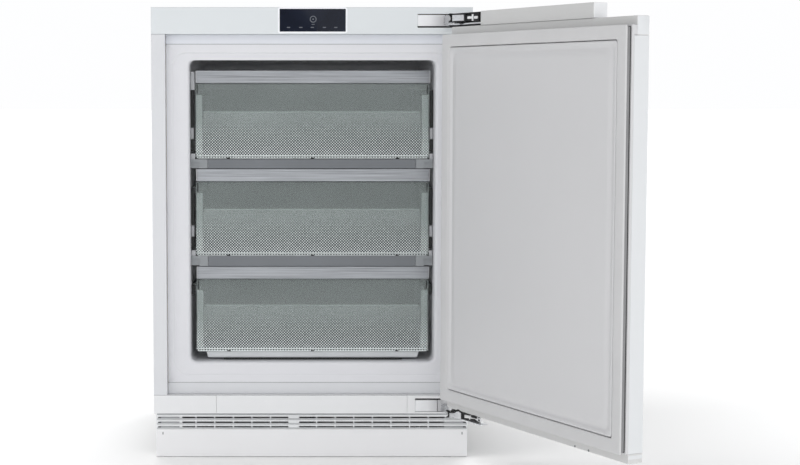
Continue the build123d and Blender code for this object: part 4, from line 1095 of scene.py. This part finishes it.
# ---------------------------------------------------------------------- stage
def floor():
    me = bpy.data.meshes.new("studio_floor")
    bm = bmesh.new()
    v = [bm.verts.new(c) for c in ((-60, -60, 0), (60, -60, 0), (60, 60, 0), (-60, 60, 0))]
    bm.faces.new(v)
    bm.to_mesh(me)
    bm.free()
    o = bpy.data.objects.new("studio_floor", me)
    bpy.context.scene.collection.objects.link(o)
    m = Mat("studio_floor", (0.60, 0.60, 0.60), 0.9, spec=0.05)
    m.tint(m.noise(0.7, 2.0), 0.006)
    me.materials.append(m.m)
    return o


ground = floor()

scene = bpy.context.scene
scene.view_settings.view_transform = "Standard"
scene.view_settings.look = "None"

# Light walls before and behind, softer sides and top. A dim screen stands where
# the camera is, so the display shows it and stays dark.
world = bpy.data.worlds.new("studio")
scene.world = world
world.use_nodes = True
wt = world.node_tree
back = wt.nodes["Background"]
coord = wt.nodes.new("ShaderNodeTexCoord")
split = wt.nodes.new("ShaderNodeSeparateXYZ")
wt.links.new(coord.outputs["Generated"], split.inputs[0])


def wmath(op, a, b):
    n = wt.nodes.new("ShaderNodeMath")
    n.operation = op
    for i, v in enumerate((a, b)):
        if isinstance(v, (int, float)):
            n.inputs[i].default_value = v
        else:
            wt.links.new(v, n.inputs[i])
    return n.outputs[0]


def wstep(value, f0, f1, t0, t1):
    n = wt.nodes.new("ShaderNodeMapRange")
    n.interpolation_type = "SMOOTHSTEP"
    for key, v in (("From Min", f0), ("From Max", f1), ("To Min", t0), ("To Max", t1)):
        n.inputs[key].default_value = v
    wt.links.new(value, n.inputs["Value"])
    return n.outputs["Result"]


wx, wy, wz = (split.outputs[k] for k in "XYZ")
front = wstep(wy, 0.2, -0.9, 0.25, 1.37)
rear = wstep(wy, 0.30, 0.95, 0.0, 0.75)
slant = wmath("ADD", wx, wmath("ADD", wmath("MULTIPLY", wz, 0.713), wmath("MULTIPLY", wy, 0.02965)))
screen = wstep(slant, -0.0004, 0.0004, 0.10, 0.46)
edge = wstep(wy, -0.988, -0.955, 0.0, 1.0)
seen = wmath("ADD", wmath("MULTIPLY", front, edge), wmath("MULTIPLY", screen, wmath("SUBTRACT", 1.0, edge)))
light = wmath("ADD", seen, rear)
ray = wt.nodes.new("ShaderNodeLightPath")
pick = wt.nodes.new("ShaderNodeMix")
wt.links.new(ray.outputs["Is Camera Ray"], pick.inputs[0])
wt.links.new(light, pick.inputs[2])
pick.inputs[3].default_value = 1.0
back.inputs["Color"].default_value = (0.99, 0.993, 1.0, 1)
wt.links.new(pick.outputs[0], back.inputs["Strength"])


def sun(name, towards, strength, degrees):
    d = bpy.data.lights.new(name, "SUN")
    d.energy = strength
    d.angle = math.radians(degrees)
    o = bpy.data.objects.new(name, d)
    scene.collection.objects.link(o)
    o.rotation_mode = "QUATERNION"
    o.rotation_quaternion = Vector(towards).to_track_quat("Z", "Y")
    return o


# A lamp for the floor alone keeps it white and gives the soft shadow under the
# cabinet and the door.
floor_lamp = sun("floor_lamp", (0.06, 0.33, 0.94), 2.45, 44)
floor_fill = sun("floor_fill", (-0.60, -0.24, 0.76), 2.1, 34)
floor_only = bpy.data.collections.new("floor_only")
floor_only.objects.link(ground)
floor_lamp.light_linking.receiver_collection = floor_only
floor_fill.light_linking.receiver_collection = floor_only

cam = bpy.data.cameras.new("view_camera")
cam.lens, cam.sensor_width, cam.sensor_fit = 75.92, 36.0, "HORIZONTAL"
cam.shift_x = 0.1119
cam.clip_start, cam.clip_end = 0.05, 200
camera = bpy.data.objects.new("view_camera", cam)
scene.collection.objects.link(camera)
camera.location = (-0.0025, -3.1489, 0.69485)
camera.rotation_euler = (math.radians(90 - 4.79), 0, 0)
scene.camera = camera
